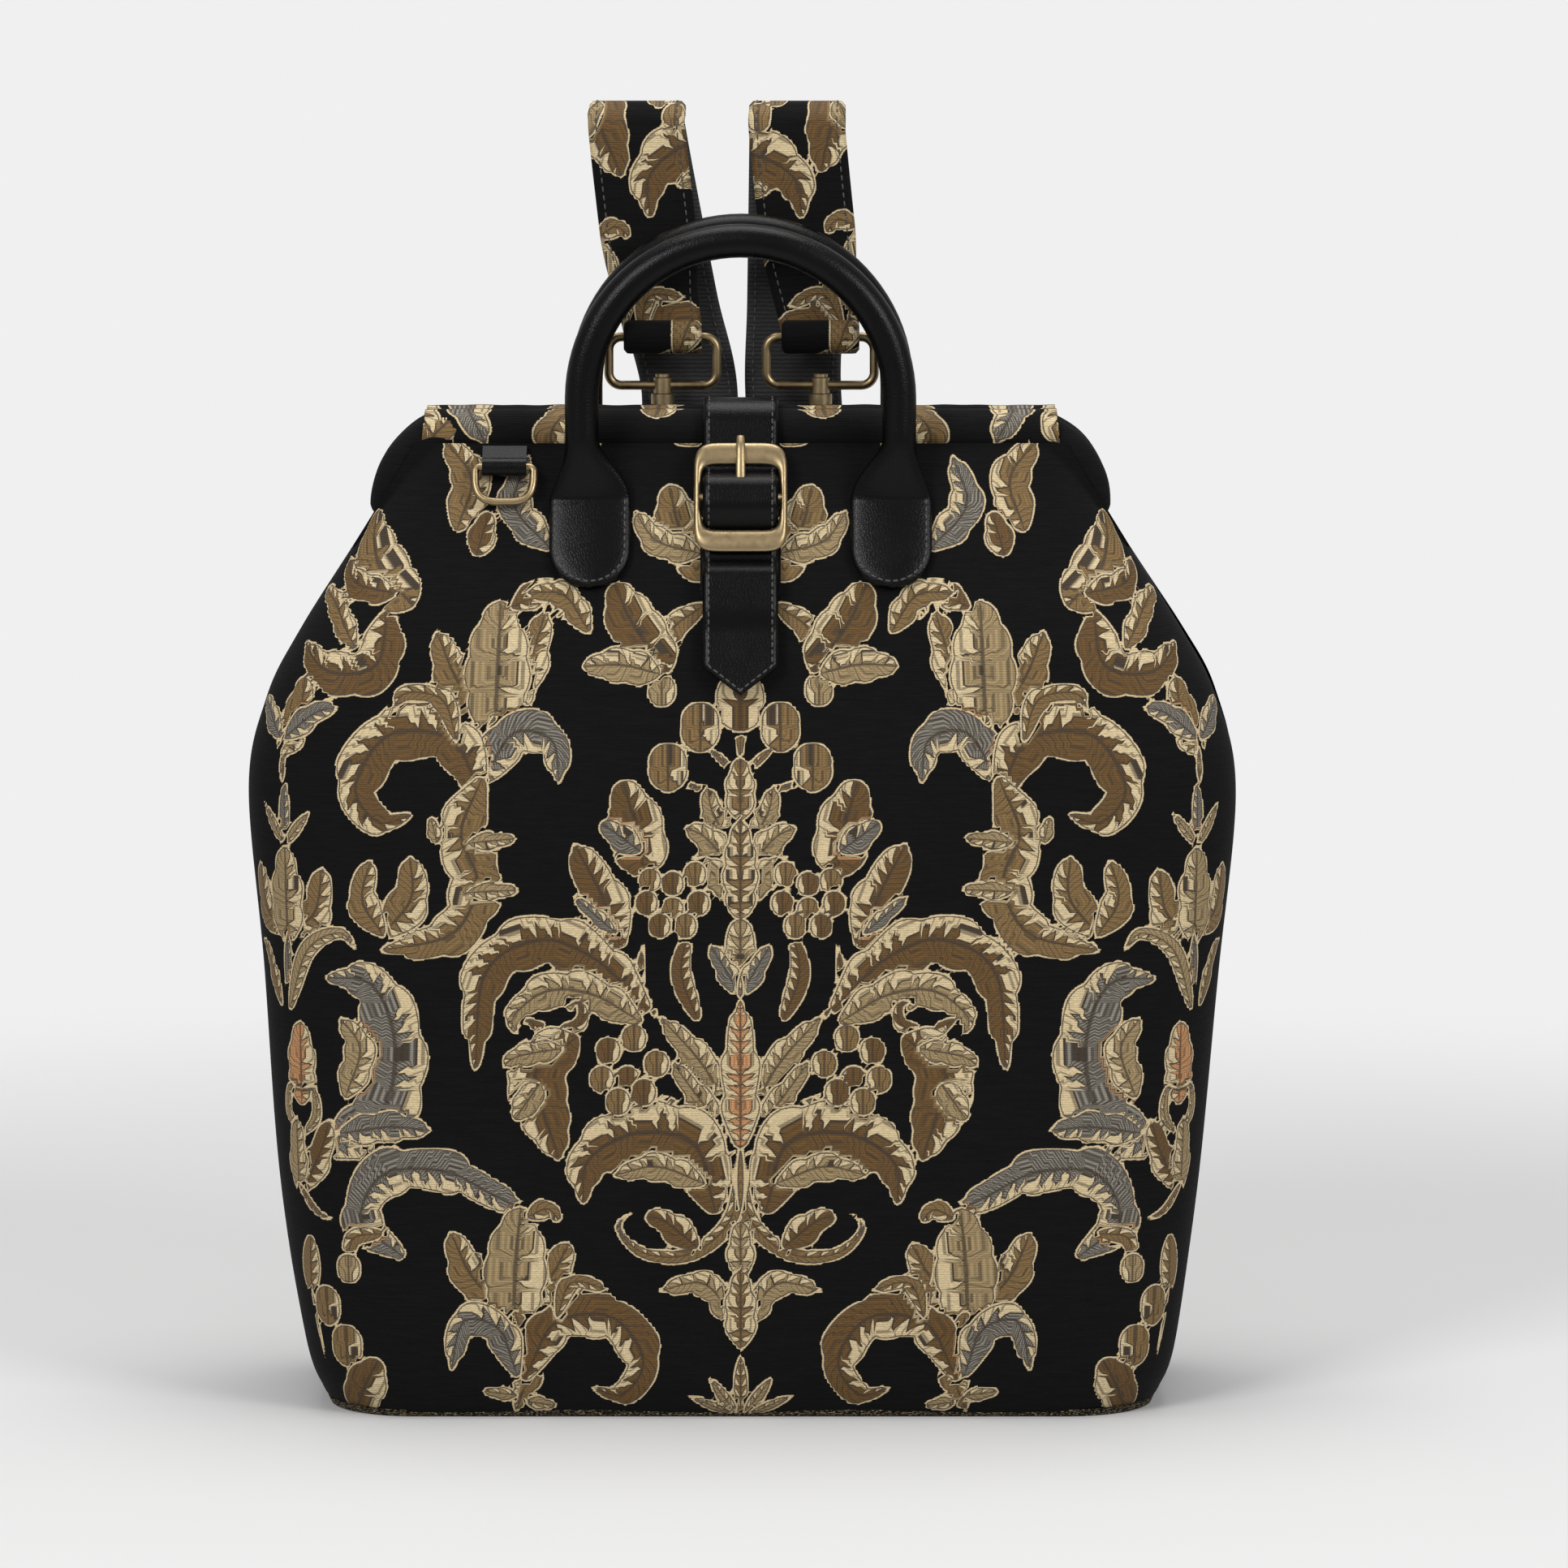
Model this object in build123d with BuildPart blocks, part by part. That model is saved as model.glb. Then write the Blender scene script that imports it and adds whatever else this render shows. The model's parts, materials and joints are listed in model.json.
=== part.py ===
"""Laptop backpack in the style of a carpet bag, in millimetres.

The bag stands on its base with +Z up and its front towards -Y. A steel frame of two
hinged halves lies in the fabric rolls at the mouth. The front half turns on two pins.
"""

import os
from math import atan, cos, degrees, radians, sin, sqrt, tan

from build123d import *

# Bag body
bag_width = 382.0
bag_depth = 140.0
shoulder_height = 300.0
hinge_height = 338.0
seam_height = 372.0
corner_radius = 34.0
skin = 2.5
padding = 4.0
fit_gap = 0.3
overrun = 5.0

# Mouth frame: steel bar inside a fabric roll
mouth_width = 287.0
mouth_top = 386.0
mouth_corner = 37.0
roll_radius = 9.5
bar_radius = 4.0
mouth_gap = 1.0
quarter_turn_deg = 90.0
lug_radius = 5.0
lug_thickness = 2.0
pin_radius = 2.0
pin_head_radius = 3.4
pin_head = 1.2
pin_clearance = 0.05

# Carrying handles
handle_span = 122.0
handle_top = 459.0
handle_radius = 6.5
handle_plane = 36.0
handle_foot = 372.0
tab_width = 31.0
tab_length = 33.0
tab_thickness = 4.0
tab_corner = 14.0
tab_middle = 335.0
tab_spacing = 116.0

# Closing strap with its buckle and hidden magnetic snap
strap_width = 29.0
strap_thickness = 2.6
strap_slack = 1.6
strap_tip = 279.0
strap_point = 14.0
strap_sewn_foot = 326.0
buckle_width = 36.0
buckle_length = 44.0
buckle_thickness = 3.0
buckle_bar = 8.8
buckle_side = 3.0
buckle_corner = 3.0
buckle_middle = 351.0
buckle_lift = 6.0
centre_bar_radius = 1.5
prong_width = 3.0
prong_thickness = 2.2
prong_eye_radius = 2.6
prong_reach = 2.0
prong_slot_width = 5.0
prong_slot_length = 12.0
snap_height = 317.0
snap_radius = 5.5
snap_thickness = 1.5
snap_tab_width = 31.0
snap_tab_length = 40.0
snap_tab_thickness = 2.0
snap_tab_corner = 8.0
snap_tab_middle = 329.5

# Ring for a cross-body strap at the front left
ring_x = -91.0
ring_height = 363.0
ring_lift = 5.2
ring_span = 22.5
ring_depth = 14.0
ring_wire_radius = 1.5
ring_tab_width = 17.0
ring_tab_radius = 3.6

# Shoulder straps, their hooks, rings and foot patches
shoulder_width = 38.0
shoulder_thickness = 4.6
shoulder_fold_top = 502.0
shoulder_foot = 44.0
shoulder_foot_x = 108.0
hook_x = 31.0
hook_back = 45.0
eye_width = 46.0
strap_loop_width = 31.0
eye_height = 19.0
eye_corner = 5.0
eye_wire_radius = 1.8
eye_bottom = 391.0
eye_boss_radius = 3.6
eye_boss_height = 6.0
swivel_gap = 0.3
swivel_pin_radius = 1.6
swivel_collar_radius = 4.6
swivel_collar_height = 4.0
hook_thickness = 8.0
hook_outer_radius = 10.0
hook_inner_radius = 5.8
hook_centre = 361.0
hook_shank_width = 7.0
hook_mouth_deg = 62.0
gate_width = 3.4
gate_eye_radius = 1.6
gate_tip_radius = 0.7
gate_pin_radius = 0.8
gate_pivot_out = 4.5
gate_pivot_rise = 8.5
gate_tip_out = 5.0
gate_tip_drop = 4.0
anchor_ring_wire_radius = 1.75
anchor_ring_span = 22.5
anchor_ring_height = 345.0
anchor_tab_width = 18.0
anchor_tab_thickness = 2.4
anchor_tab_length = 22.0
anchor_loop_radius = 4.4
patch_width = 46.0
patch_length = 40.0
patch_thickness = 2.4
patch_corner = 6.0

# Inside
board_thickness = 2.5
board_width = 300.0
board_depth = 104.0
board_corner = 20.0
padding_width = 270.0
padding_foot = 14.0
padding_head = 282.0
divider_width = 296.0
divider_height = 232.0
divider_thickness = 5.0
divider_corner = 24.0
divider_back = 26.0

# Derived places
half_mouth = mouth_gap / 2 + roll_radius
collar_lean = (bag_depth * 0.729 / 2 - 2 * half_mouth - 3.1 * fit_gap) / (seam_height - shoulder_height)
collar_deg = degrees(atan(collar_lean))
collar_seam = 2 * half_mouth + 3.1 * fit_gap
roll_x = mouth_width / 2 - roll_radius
roll_z = mouth_top - roll_radius
strap_z = mouth_top + fit_gap + strap_thickness / 2
pivot_back = half_mouth
FRONT, BACK = -1, 1
LEFT, RIGHT = -1, 1
SIDE_NAMES = {LEFT: "left", RIGHT: "right"}
HALF_NAMES = {FRONT: "front", BACK: "back"}

# Height, half width and half depth of the body below the shoulder, as shares of its sizes
body_shares = (
    (0.0, 0.838, 0.886),
    (0.083, 0.885, 0.975),
    (0.30, 0.932, 1.0),
    (0.567, 0.969, 0.985),
    (0.80, 1.0, 0.92),
    (0.917, 0.958, 0.82),
    (1.0, 0.895, 0.729),
)
neck_share = 0.3
ring_foot_share = 0.14
hinge_width_share = 0.766
seam_width_share = 0.66

os.makedirs("parts", exist_ok=True)
finished = {}


def keep(builder, name):
    """Labels a finished sub-part and writes its STEP file."""
    builder.part.label = name
    finished[name] = builder.part
    export_step(builder.part, f"parts/{name}.step")


def collar_out(height):
    """Distance of the collar's outer face from the middle plane at a height."""
    return collar_seam + (seam_height - height) * collar_lean


def collar_point(half, height, lift, x=0.0):
    """A point that stands off the front or back collar by lift, at about a height."""
    lean = radians(collar_deg)
    return (x, half * (collar_out(height) + lift * cos(lean)), height + lift * sin(lean))


def collar_plane(half, height, lift, x=0.0):
    """A plane on the collar whose Z points away from the bag and whose Y points up the slope."""
    lean = radians(collar_deg)
    return Plane(
        origin=collar_point(half, height, lift, x),
        x_dir=(-half, 0, 0),
        z_dir=(0, half * cos(lean), sin(lean)),
    )


def profile_plane(x=0.0):
    """The YZ plane at x: its own X is the bag's Y, and its own Y is the bag's Z."""
    return Plane(origin=(x, 0, 0), x_dir=(0, 1, 0), z_dir=(1, 0, 0))


def front_plane(y=0.0):
    """The XZ plane at y: its own X is the bag's X, and its own Y is the bag's Z."""
    return Plane(origin=(0, y, 0), x_dir=(1, 0, 0), z_dir=(0, -1, 0))


def bag_section(height, half_width, half_depth, inset):
    """One rounded-rectangle section of the body, inset from the outer skin."""
    radius = min(corner_radius, 0.6 * half_depth)
    with BuildSketch(Plane.XY.offset(height)) as section:
        RectangleRounded(2 * (half_width - inset), 2 * (half_depth - inset), radius - inset)
    return section.sketch


def bag_body(inset, foot):
    """The body as a solid, inset from the outer skin and starting at a foot height."""
    half_width, half_depth = bag_width / 2, bag_depth / 2
    lower = []
    for height_share, width_share, depth_share in body_shares:
        height = max(foot, shoulder_height * height_share)
        depth = half_depth * depth_share
        lower.append(bag_section(height, half_width * width_share, depth, inset))
    hinge_depth = collar_out(hinge_height)
    upper = [
        lower[-1],
        bag_section(hinge_height, half_width * hinge_width_share, hinge_depth, inset),
        bag_section(seam_height, half_width * seam_width_share, collar_seam, inset),
    ]
    with BuildPart() as body:
        loft(lower)
        loft(upper, ruled=True)
    return body.part


def mouth_face(half_width, top, corner, foot):
    """The outline inside the mouth frame: straight legs and rounded upper corners."""
    with BuildSketch(front_plane()) as face:
        with BuildLine():
            Polyline(
                (-half_width, top - corner), (-half_width, foot), (half_width, foot), (half_width, top - corner)
            )
            RadiusArc((half_width, top - corner), (half_width - corner, top), -corner)
            Line((half_width - corner, top), (-half_width + corner, top))
            RadiusArc((-half_width + corner, top), (-half_width, top - corner), -corner)
        make_face()
    return face.sketch


# Body shell, sewn from a front, a back, two side gussets and a base
with BuildPart() as shell:
    add(bag_body(0, 0))
    add(bag_body(skin, skin), mode=Mode.SUBTRACT)
    with BuildSketch(Plane.XY.offset(seam_height - overrun)):
        Rectangle(bag_width, 2 * (collar_seam - skin))
    extrude(amount=2 * overrun, mode=Mode.SUBTRACT)
    gusset_top = hinge_height - lug_radius - fit_gap
    with BuildSketch(front_plane()):
        with Locations((0, (gusset_top + mouth_top) / 2)):
            Rectangle(bag_width, mouth_top - gusset_top)
        add(mouth_face(mouth_width / 2, seam_height + overrun, mouth_corner, gusset_top), mode=Mode.SUBTRACT)
    extrude(amount=bag_depth / 2, both=True, mode=Mode.SUBTRACT)
    with BuildSketch(Plane.XY.offset(gusset_top)):
        Rectangle(bag_width, 2 * (2 * half_mouth + fit_gap))
    extrude(amount=mouth_top - gusset_top, mode=Mode.SUBTRACT)

seam_foot = bag_depth / 2 - corner_radius / 2
seam_head = half_mouth + fit_gap
seam_lean = (seam_foot - seam_head) / hinge_height


def seam_plane(half):
    """The plane of the side seam, which leans in towards the mouth, facing away from the middle."""
    return Plane(origin=(0, half * seam_foot, 0), x_dir=(1, 0, 0), z_dir=(0, half, seam_lean))


for half in (FRONT, BACK):
    with BuildPart() as panel:
        add(shell.part)
        split(bisect_by=seam_plane(half), keep=Keep.TOP)
        split(bisect_by=Plane.XY.offset(skin), keep=Keep.TOP)
    keep(panel, f"{HALF_NAMES[half]}_panel")

for side in (LEFT, RIGHT):
    with BuildPart() as gusset:
        add(shell.part)
        split(bisect_by=seam_plane(FRONT), keep=Keep.BOTTOM)
        split(bisect_by=seam_plane(BACK), keep=Keep.BOTTOM)
        split(bisect_by=Plane.XY.offset(skin), keep=Keep.TOP)
        split(bisect_by=Plane.YZ, keep=Keep.TOP if side == RIGHT else Keep.BOTTOM)
    keep(gusset, f"{SIDE_NAMES[side]}_gusset")

with BuildPart() as base_panel:
    add(shell.part)
    split(bisect_by=Plane.XY.offset(skin), keep=Keep.BOTTOM)
keep(base_panel, "base_panel")

# Foam padding behind the two large panels
with BuildPart() as padding_shell:
    add(bag_body(skin + fit_gap, skin + fit_gap))
    add(bag_body(skin + fit_gap + padding, skin + fit_gap), mode=Mode.SUBTRACT)

for half in (FRONT, BACK):
    with BuildPart() as pad:
        with BuildSketch(front_plane()):
            with Locations((0, (padding_foot + padding_head) / 2)):
                RectangleRounded(padding_width, padding_head - padding_foot, corner_radius / 2)
        extrude(amount=-half * bag_depth)
        add(padding_shell.part, mode=Mode.INTERSECT)
    keep(pad, f"{HALF_NAMES[half]}_padding")

# Stiff board on the base, and the padded divider of the laptop pocket
with BuildPart() as base_board:
    with BuildSketch(Plane.XY.offset(skin + fit_gap)):
        RectangleRounded(board_width, board_depth, board_corner)
    extrude(amount=board_thickness)
keep(base_board, "base_board")

divider_foot = skin + 2 * fit_gap + board_thickness
with BuildPart() as laptop_divider:
    with BuildSketch(front_plane(divider_back)):
        with Locations((0, divider_foot + divider_height / 2)):
            RectangleRounded(divider_width, divider_height, divider_corner)
    extrude(amount=divider_thickness)
    fillet(laptop_divider.edges().filter_by(GeomType.LINE).group_by(Axis.Y)[0], divider_thickness / 4)
keep(laptop_divider, "laptop_divider")


sleeve_foot = hinge_height + lug_radius + 2 * fit_gap
roll_bend = mouth_corner - roll_radius


def mouth_tube(y, radius):
    """A round bar of a radius along the frame: two legs, two turned corners and the top."""
    leg_head = roll_z - roll_bend
    top_x = roll_x - roll_bend
    with BuildPart() as tube:
        for side in (LEFT, RIGHT):
            with BuildSketch(Plane(origin=(side * roll_x, y, sleeve_foot))):
                Circle(radius)
            extrude(amount=leg_head - sleeve_foot)
            with BuildSketch(Plane(origin=(side * roll_x, y, leg_head))):
                Circle(radius)
            revolve(axis=Axis((side * top_x, y, leg_head), (0, -side, 0)), revolution_arc=quarter_turn_deg)
        with BuildSketch(Plane(origin=(-top_x, y, roll_z), x_dir=(0, 1, 0), z_dir=(1, 0, 0))):
            Circle(radius)
        extrude(amount=2 * top_x)
    return tube.part


lug_inner = {FRONT: roll_x - lug_thickness - fit_gap / 2, BACK: roll_x + fit_gap / 2}

# Frame halves: bar with hinge lugs, and the fabric roll around it
for half in (FRONT, BACK):
    roll_y = half * half_mouth
    with BuildPart() as bar:
        add(mouth_tube(roll_y, bar_radius))
        for side in (LEFT, RIGHT):
            inner = side * lug_inner[half]
            outer = inner + side * lug_thickness
            with BuildSketch(profile_plane(min(inner, outer))):
                with Locations((roll_y, sleeve_foot)):
                    Circle(bar_radius - fit_gap)
                with Locations((0, hinge_height)):
                    Circle(lug_radius)
                make_hull()
                with Locations((0, hinge_height)):
                    Circle(pin_radius + pin_clearance, mode=Mode.SUBTRACT)
            extrude(amount=lug_thickness)
    keep(bar, f"{HALF_NAMES[half]}_frame_bar")

    with BuildPart() as sleeve:
        add(mouth_tube(roll_y, roll_radius))
        add(mouth_tube(roll_y, bar_radius + fit_gap / 2), mode=Mode.SUBTRACT)
        for side in (LEFT, RIGHT):
            with BuildSketch(Plane.XY.offset(sleeve_foot)):
                with Locations((side * roll_x, 0)):
                    Rectangle(2 * lug_thickness + 4 * fit_gap, 4 * half_mouth)
            extrude(amount=lug_radius, mode=Mode.SUBTRACT)
    keep(sleeve, f"{HALF_NAMES[half]}_frame_roll")

with BuildPart() as hinge_pins:
    for side in (LEFT, RIGHT):
        reach = lug_thickness + fit_gap
        with BuildSketch(profile_plane(side * roll_x)):
            with Locations((0, hinge_height)):
                Circle(pin_radius)
        extrude(amount=reach, both=True)
        for end in (-1, 1):
            with BuildSketch(profile_plane(side * roll_x + end * reach)):
                with Locations((0, hinge_height)):
                    Circle(pin_head_radius)
            extrude(amount=end * pin_head)
keep(hinge_pins, "hinge_pins")


def handle_neck(tube_point, tab_point):
    """The taper from a handle's round end to the flat top of its tab."""
    with BuildSketch(Plane(origin=tube_point)) as tube_end:
        Circle(handle_radius - fit_gap)
    with BuildSketch(Plane(origin=tab_point)) as neck_end:
        Ellipse(tab_width / 2 - fit_gap, tab_thickness / 2 - fit_gap / 2)
    with BuildPart() as neck:
        loft([neck_end.sketch, tube_end.sketch])
    return neck.part


# Carrying handles, one leather-covered roll each, flattened into two sewn tabs
for half in (FRONT, BACK):
    handle_y = half * handle_plane
    leg_x = handle_span / 2
    arch_z = handle_top - handle_radius - leg_x
    neck_height = tab_middle + tab_length * neck_share
    neck_y, neck_z = collar_point(half, neck_height, fit_gap + tab_thickness / 2)[1:]
    with BuildPart() as handle:
        with BuildLine() as arch:
            Line((-leg_x, handle_y, handle_foot), (-leg_x, handle_y, arch_z))
            ThreePointArc(
                (-leg_x, handle_y, arch_z), (0, handle_y, arch_z + leg_x), (leg_x, handle_y, arch_z)
            )
            Line((leg_x, handle_y, arch_z), (leg_x, handle_y, handle_foot))
        with BuildSketch(Plane(origin=(-leg_x, handle_y, handle_foot))):
            Circle(handle_radius)
        sweep(path=arch.line)
        for side in (LEFT, RIGHT):
            tab_x = side * tab_spacing / 2
            add(handle_neck((side * leg_x, handle_y, handle_foot + handle_radius / 2), (tab_x, neck_y, neck_z)))
            with BuildSketch(collar_plane(half, tab_middle, fit_gap, tab_x)):
                RectangleRounded(tab_width, tab_length, tab_corner)
                with Locations((0, tab_length / 4)):
                    Rectangle(tab_width, tab_length / 2)
            extrude(amount=tab_thickness)
    keep(handle, f"{HALF_NAMES[half]}_handle")

# Closing strap: heights along the front and how far its middle stands off the collar
bar_foot = buckle_length / 2 - buckle_bar
under_bar = buckle_lift - strap_thickness / 2 - 3 * fit_gap
over_bar = buckle_lift + buckle_thickness / 2 + prong_eye_radius + strap_thickness / 2 + 2 * fit_gap
over_snap = snap_tab_thickness + 2 * snap_thickness + strap_thickness / 2 + 4 * fit_gap
strap_line_lifts = (
    (seam_height - fit_gap, strap_thickness + strap_slack),
    (buckle_middle + bar_foot, under_bar),
    (buckle_middle + prong_eye_radius, over_bar),
    (buckle_middle - prong_eye_radius, over_bar),
    (buckle_middle - bar_foot, under_bar),
    (buckle_middle - buckle_length / 2, under_bar),
    (snap_height + snap_radius, over_snap),
    (snap_height - snap_radius, over_snap),
    (shoulder_height, buckle_lift * 0.8),
    (strap_tip, buckle_lift * 0.8),
)
ease_steps = 4


def eased(knots):
    """Points between the knots that ease from one lift to the next without passing it."""
    eased_points = []
    for (height, lift), (next_height, next_lift) in zip(knots, knots[1:]):
        for step in range(ease_steps):
            part = step / ease_steps
            ease = part * part * (3 - 2 * part)
            eased_points.append((height + (next_height - height) * part, lift + (next_lift - lift) * ease))
    return eased_points + [knots[-1]]


def strap_band(points):
    """A strap of constant width whose middle line runs through points of the YZ plane."""
    with BuildPart() as band:
        with BuildSketch(profile_plane()):
            with BuildLine():
                Spline(*points)
            trace(line_width=strap_thickness)
        extrude(amount=strap_width / 2, both=True)
    return band.part


roll_turn_degs = (90.0, 105.0, 120.0, 135.0, 150.0, 165.0)
turn_radius = strap_z - roll_z


def round_roll(half, slack):
    """Points of a strap that wraps over a frame roll, from its top outwards."""
    turn = []
    for angle in roll_turn_degs:
        out = half_mouth - (turn_radius + slack) * cos(radians(angle))
        turn.append((half * out, roll_z + (turn_radius + slack) * sin(radians(angle))))
    return turn


front_line = [collar_point(FRONT, height, lift)[1:] for height, lift in eased(strap_line_lifts)]
flap_line = [(pivot_back, strap_z), (0, strap_z), *round_roll(FRONT, strap_slack), *front_line]
tip_z = front_line[-1][1]
with BuildPart() as closure_strap:
    add(strap_band(flap_line))
    with BuildSketch(front_plane()):
        with BuildLine():
            half_strap = strap_width / 2
            Polyline(
                (0, tip_z),
                (half_strap, tip_z + strap_point),
                (half_strap, tip_z - overrun),
                (-half_strap, tip_z - overrun),
                (-half_strap, tip_z + strap_point),
                (0, tip_z),
            )
        make_face()
    extrude(amount=bag_depth, mode=Mode.SUBTRACT)
    slot_foot = collar_point(FRONT, buckle_middle, over_bar)[2]
    with BuildSketch(front_plane()):
        with Locations((0, slot_foot + prong_slot_length / 2)):
            RectangleRounded(prong_slot_width, prong_slot_length, prong_slot_width * 0.45)
    extrude(amount=bag_depth, mode=Mode.SUBTRACT)
keep(closure_strap, "closure_strap")

sewn_lift = strap_thickness / 2 + 2 * fit_gap
sewn_lifts = ((seam_height - overrun, sewn_lift), (strap_sewn_foot, sewn_lift))
back_line = [collar_point(BACK, height, lift)[1:] for height, lift in eased(sewn_lifts)]
sewn_line = [(pivot_back + 2 * fit_gap, strap_z), *round_roll(BACK, 0)[1:], *back_line]
with BuildPart() as strap_sewn_end:
    add(strap_band(sewn_line))
keep(strap_sewn_end, "strap_sewn_end")

# Buckle: a bowed frame with a centre bar, and the prong that turns on that bar
with BuildPart() as buckle_frame:
    with BuildSketch(collar_plane(FRONT, buckle_middle, buckle_lift)):
        with BuildLine():
            half_w, half_l = buckle_width / 2, buckle_length / 2
            waist = half_w - buckle_side * 0.5
            bow = half_l - buckle_bar * 0.2
            ThreePointArc((-waist, bow), (0, half_l), (waist, bow))
            ThreePointArc((waist, bow), (half_w, 0), (waist, -bow))
            ThreePointArc((waist, -bow), (0, -half_l), (-waist, -bow))
            ThreePointArc((-waist, -bow), (-half_w, 0), (-waist, bow))
        make_face()
        inner_width = buckle_width - 2 * buckle_side
        Rectangle(inner_width, buckle_length - 2 * buckle_bar, mode=Mode.SUBTRACT)
    extrude(amount=buckle_thickness)
    fillet(buckle_frame.edges().filter_by(lambda e: abs(e.length - buckle_thickness) < fit_gap)
           .sort_by(SortBy.DISTANCE)[-4:], buckle_corner * 0.6)
    bar_x = buckle_width / 2 - buckle_side / 2
    bar_point = collar_point(FRONT, buckle_middle, buckle_lift + buckle_thickness / 2)
    with BuildSketch(profile_plane(-bar_x)):
        with Locations(bar_point[1:]):
            Circle(centre_bar_radius)
    extrude(amount=2 * bar_x)
keep(buckle_frame, "buckle_frame")

prong_head = buckle_middle + buckle_length / 2 + prong_reach
prong_tip = collar_point(FRONT, prong_head, buckle_lift + buckle_thickness + prong_thickness)[1:]
prong_rest = collar_point(
    FRONT, buckle_middle + buckle_length / 2 - buckle_bar, buckle_lift + buckle_thickness + prong_thickness
)[1:]
with BuildPart() as buckle_prong:
    with BuildSketch(profile_plane(-prong_width / 2)):
        with BuildLine():
            Polyline(bar_point[1:], prong_rest, prong_tip)
        trace(line_width=prong_thickness)
        with Locations(bar_point[1:]):
            Circle(prong_eye_radius)
            Circle(centre_bar_radius + fit_gap / 2, mode=Mode.SUBTRACT)
    extrude(amount=prong_width)
keep(buckle_prong, "buckle_prong")

# Leather tab under the strap, with the two halves of the magnetic snap
with BuildPart() as snap_tab:
    with BuildSketch(collar_plane(FRONT, snap_tab_middle, fit_gap)):
        RectangleRounded(snap_tab_width, snap_tab_length, snap_tab_corner)
    extrude(amount=snap_tab_thickness)
keep(snap_tab, "snap_tab")

snap_faces = {"snap_stud": fit_gap + snap_tab_thickness, "snap_socket": 0.0}
snap_faces["snap_socket"] = snap_faces["snap_stud"] + snap_thickness + fit_gap
for name, lift in snap_faces.items():
    with BuildPart() as snap_half:
        with BuildSketch(collar_plane(FRONT, snap_height, lift)):
            Circle(snap_radius)
        extrude(amount=snap_thickness)
    keep(snap_half, name)


def wire_ring(plane, span, depth, wire_radius):
    """A D-ring of round wire: a straight bar along the plane's X and a bow along its Y."""
    half = span / 2
    foot = depth * ring_foot_share
    rise = 2 * foot
    inset = foot * (1 - sqrt(0.5))
    with BuildSketch(plane) as outline:
        with BuildLine():
            Line((-half + foot, 0), (half - foot, 0))
            ThreePointArc((half - foot, 0), (half - inset, inset), (half, foot))
            Line((half, foot), (half, rise))
            Spline((half, rise), (0, depth), (-half, rise), tangents=((0, 1), (0, -1)))
            Line((-half, rise), (-half, foot))
            ThreePointArc((-half, foot), (-half + inset, inset), (-half + foot, 0))
        make_face()
    wire = outline.sketch.faces()[0].outer_wire()
    with BuildPart() as ring:
        with BuildSketch(Plane(origin=wire @ 0, z_dir=wire % 0)):
            Circle(wire_radius)
        sweep(path=wire)
    return ring.part


# Cross-body ring in its leather tab
ring_middle = collar_point(FRONT, ring_height, ring_lift, ring_x)
ring_slope = collar_plane(FRONT, ring_height, ring_lift, ring_x)
with BuildPart() as front_ring:
    add(wire_ring(Plane(origin=ring_middle, x_dir=(1, 0, 0), z_dir=(0, ring_slope.y_dir.Z, -ring_slope.y_dir.Y)),
                  ring_span, ring_depth, ring_wire_radius))
keep(front_ring, "front_ring")

with BuildPart() as front_ring_tab:
    with BuildSketch(profile_plane(ring_x - ring_tab_width / 2)):
        with Locations(ring_middle[1:]):
            Circle(ring_tab_radius)
        with BuildLine():
            Polyline(
                (ring_middle[1] - ring_tab_radius * 0.6, ring_middle[2]),
                collar_point(FRONT, seam_height - fit_gap, strap_thickness)[1:],
                collar_point(FRONT, seam_height - fit_gap, fit_gap)[1:],
                collar_point(FRONT, ring_height, fit_gap)[1:],
                (ring_middle[1] - ring_tab_radius * 0.6, ring_middle[2]),
            )
        make_face()
        with Locations(ring_middle[1:]):
            Circle(ring_wire_radius + fit_gap / 2, mode=Mode.SUBTRACT)
    extrude(amount=ring_tab_width)
keep(front_ring_tab, "front_ring_tab")


def band(points, widths, thickness):
    """A flat strap lofted through sections along a line of points in space."""
    line = [Vector(p) for p in points]
    sections = []
    for i, point in enumerate(line):
        along = (line[min(i + 1, len(line) - 1)] - line[max(i - 1, 0)]).normalized()
        across = Vector(1, 0, 0) - along * along.X
        with BuildSketch(Plane(origin=point, x_dir=across.normalized(), z_dir=along)) as section:
            Rectangle(widths[min(i, len(widths) - 1)], thickness)
        sections.append(section.sketch)
    with BuildPart() as strip:
        loft(sections, ruled=True)
    return strip.part


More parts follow.
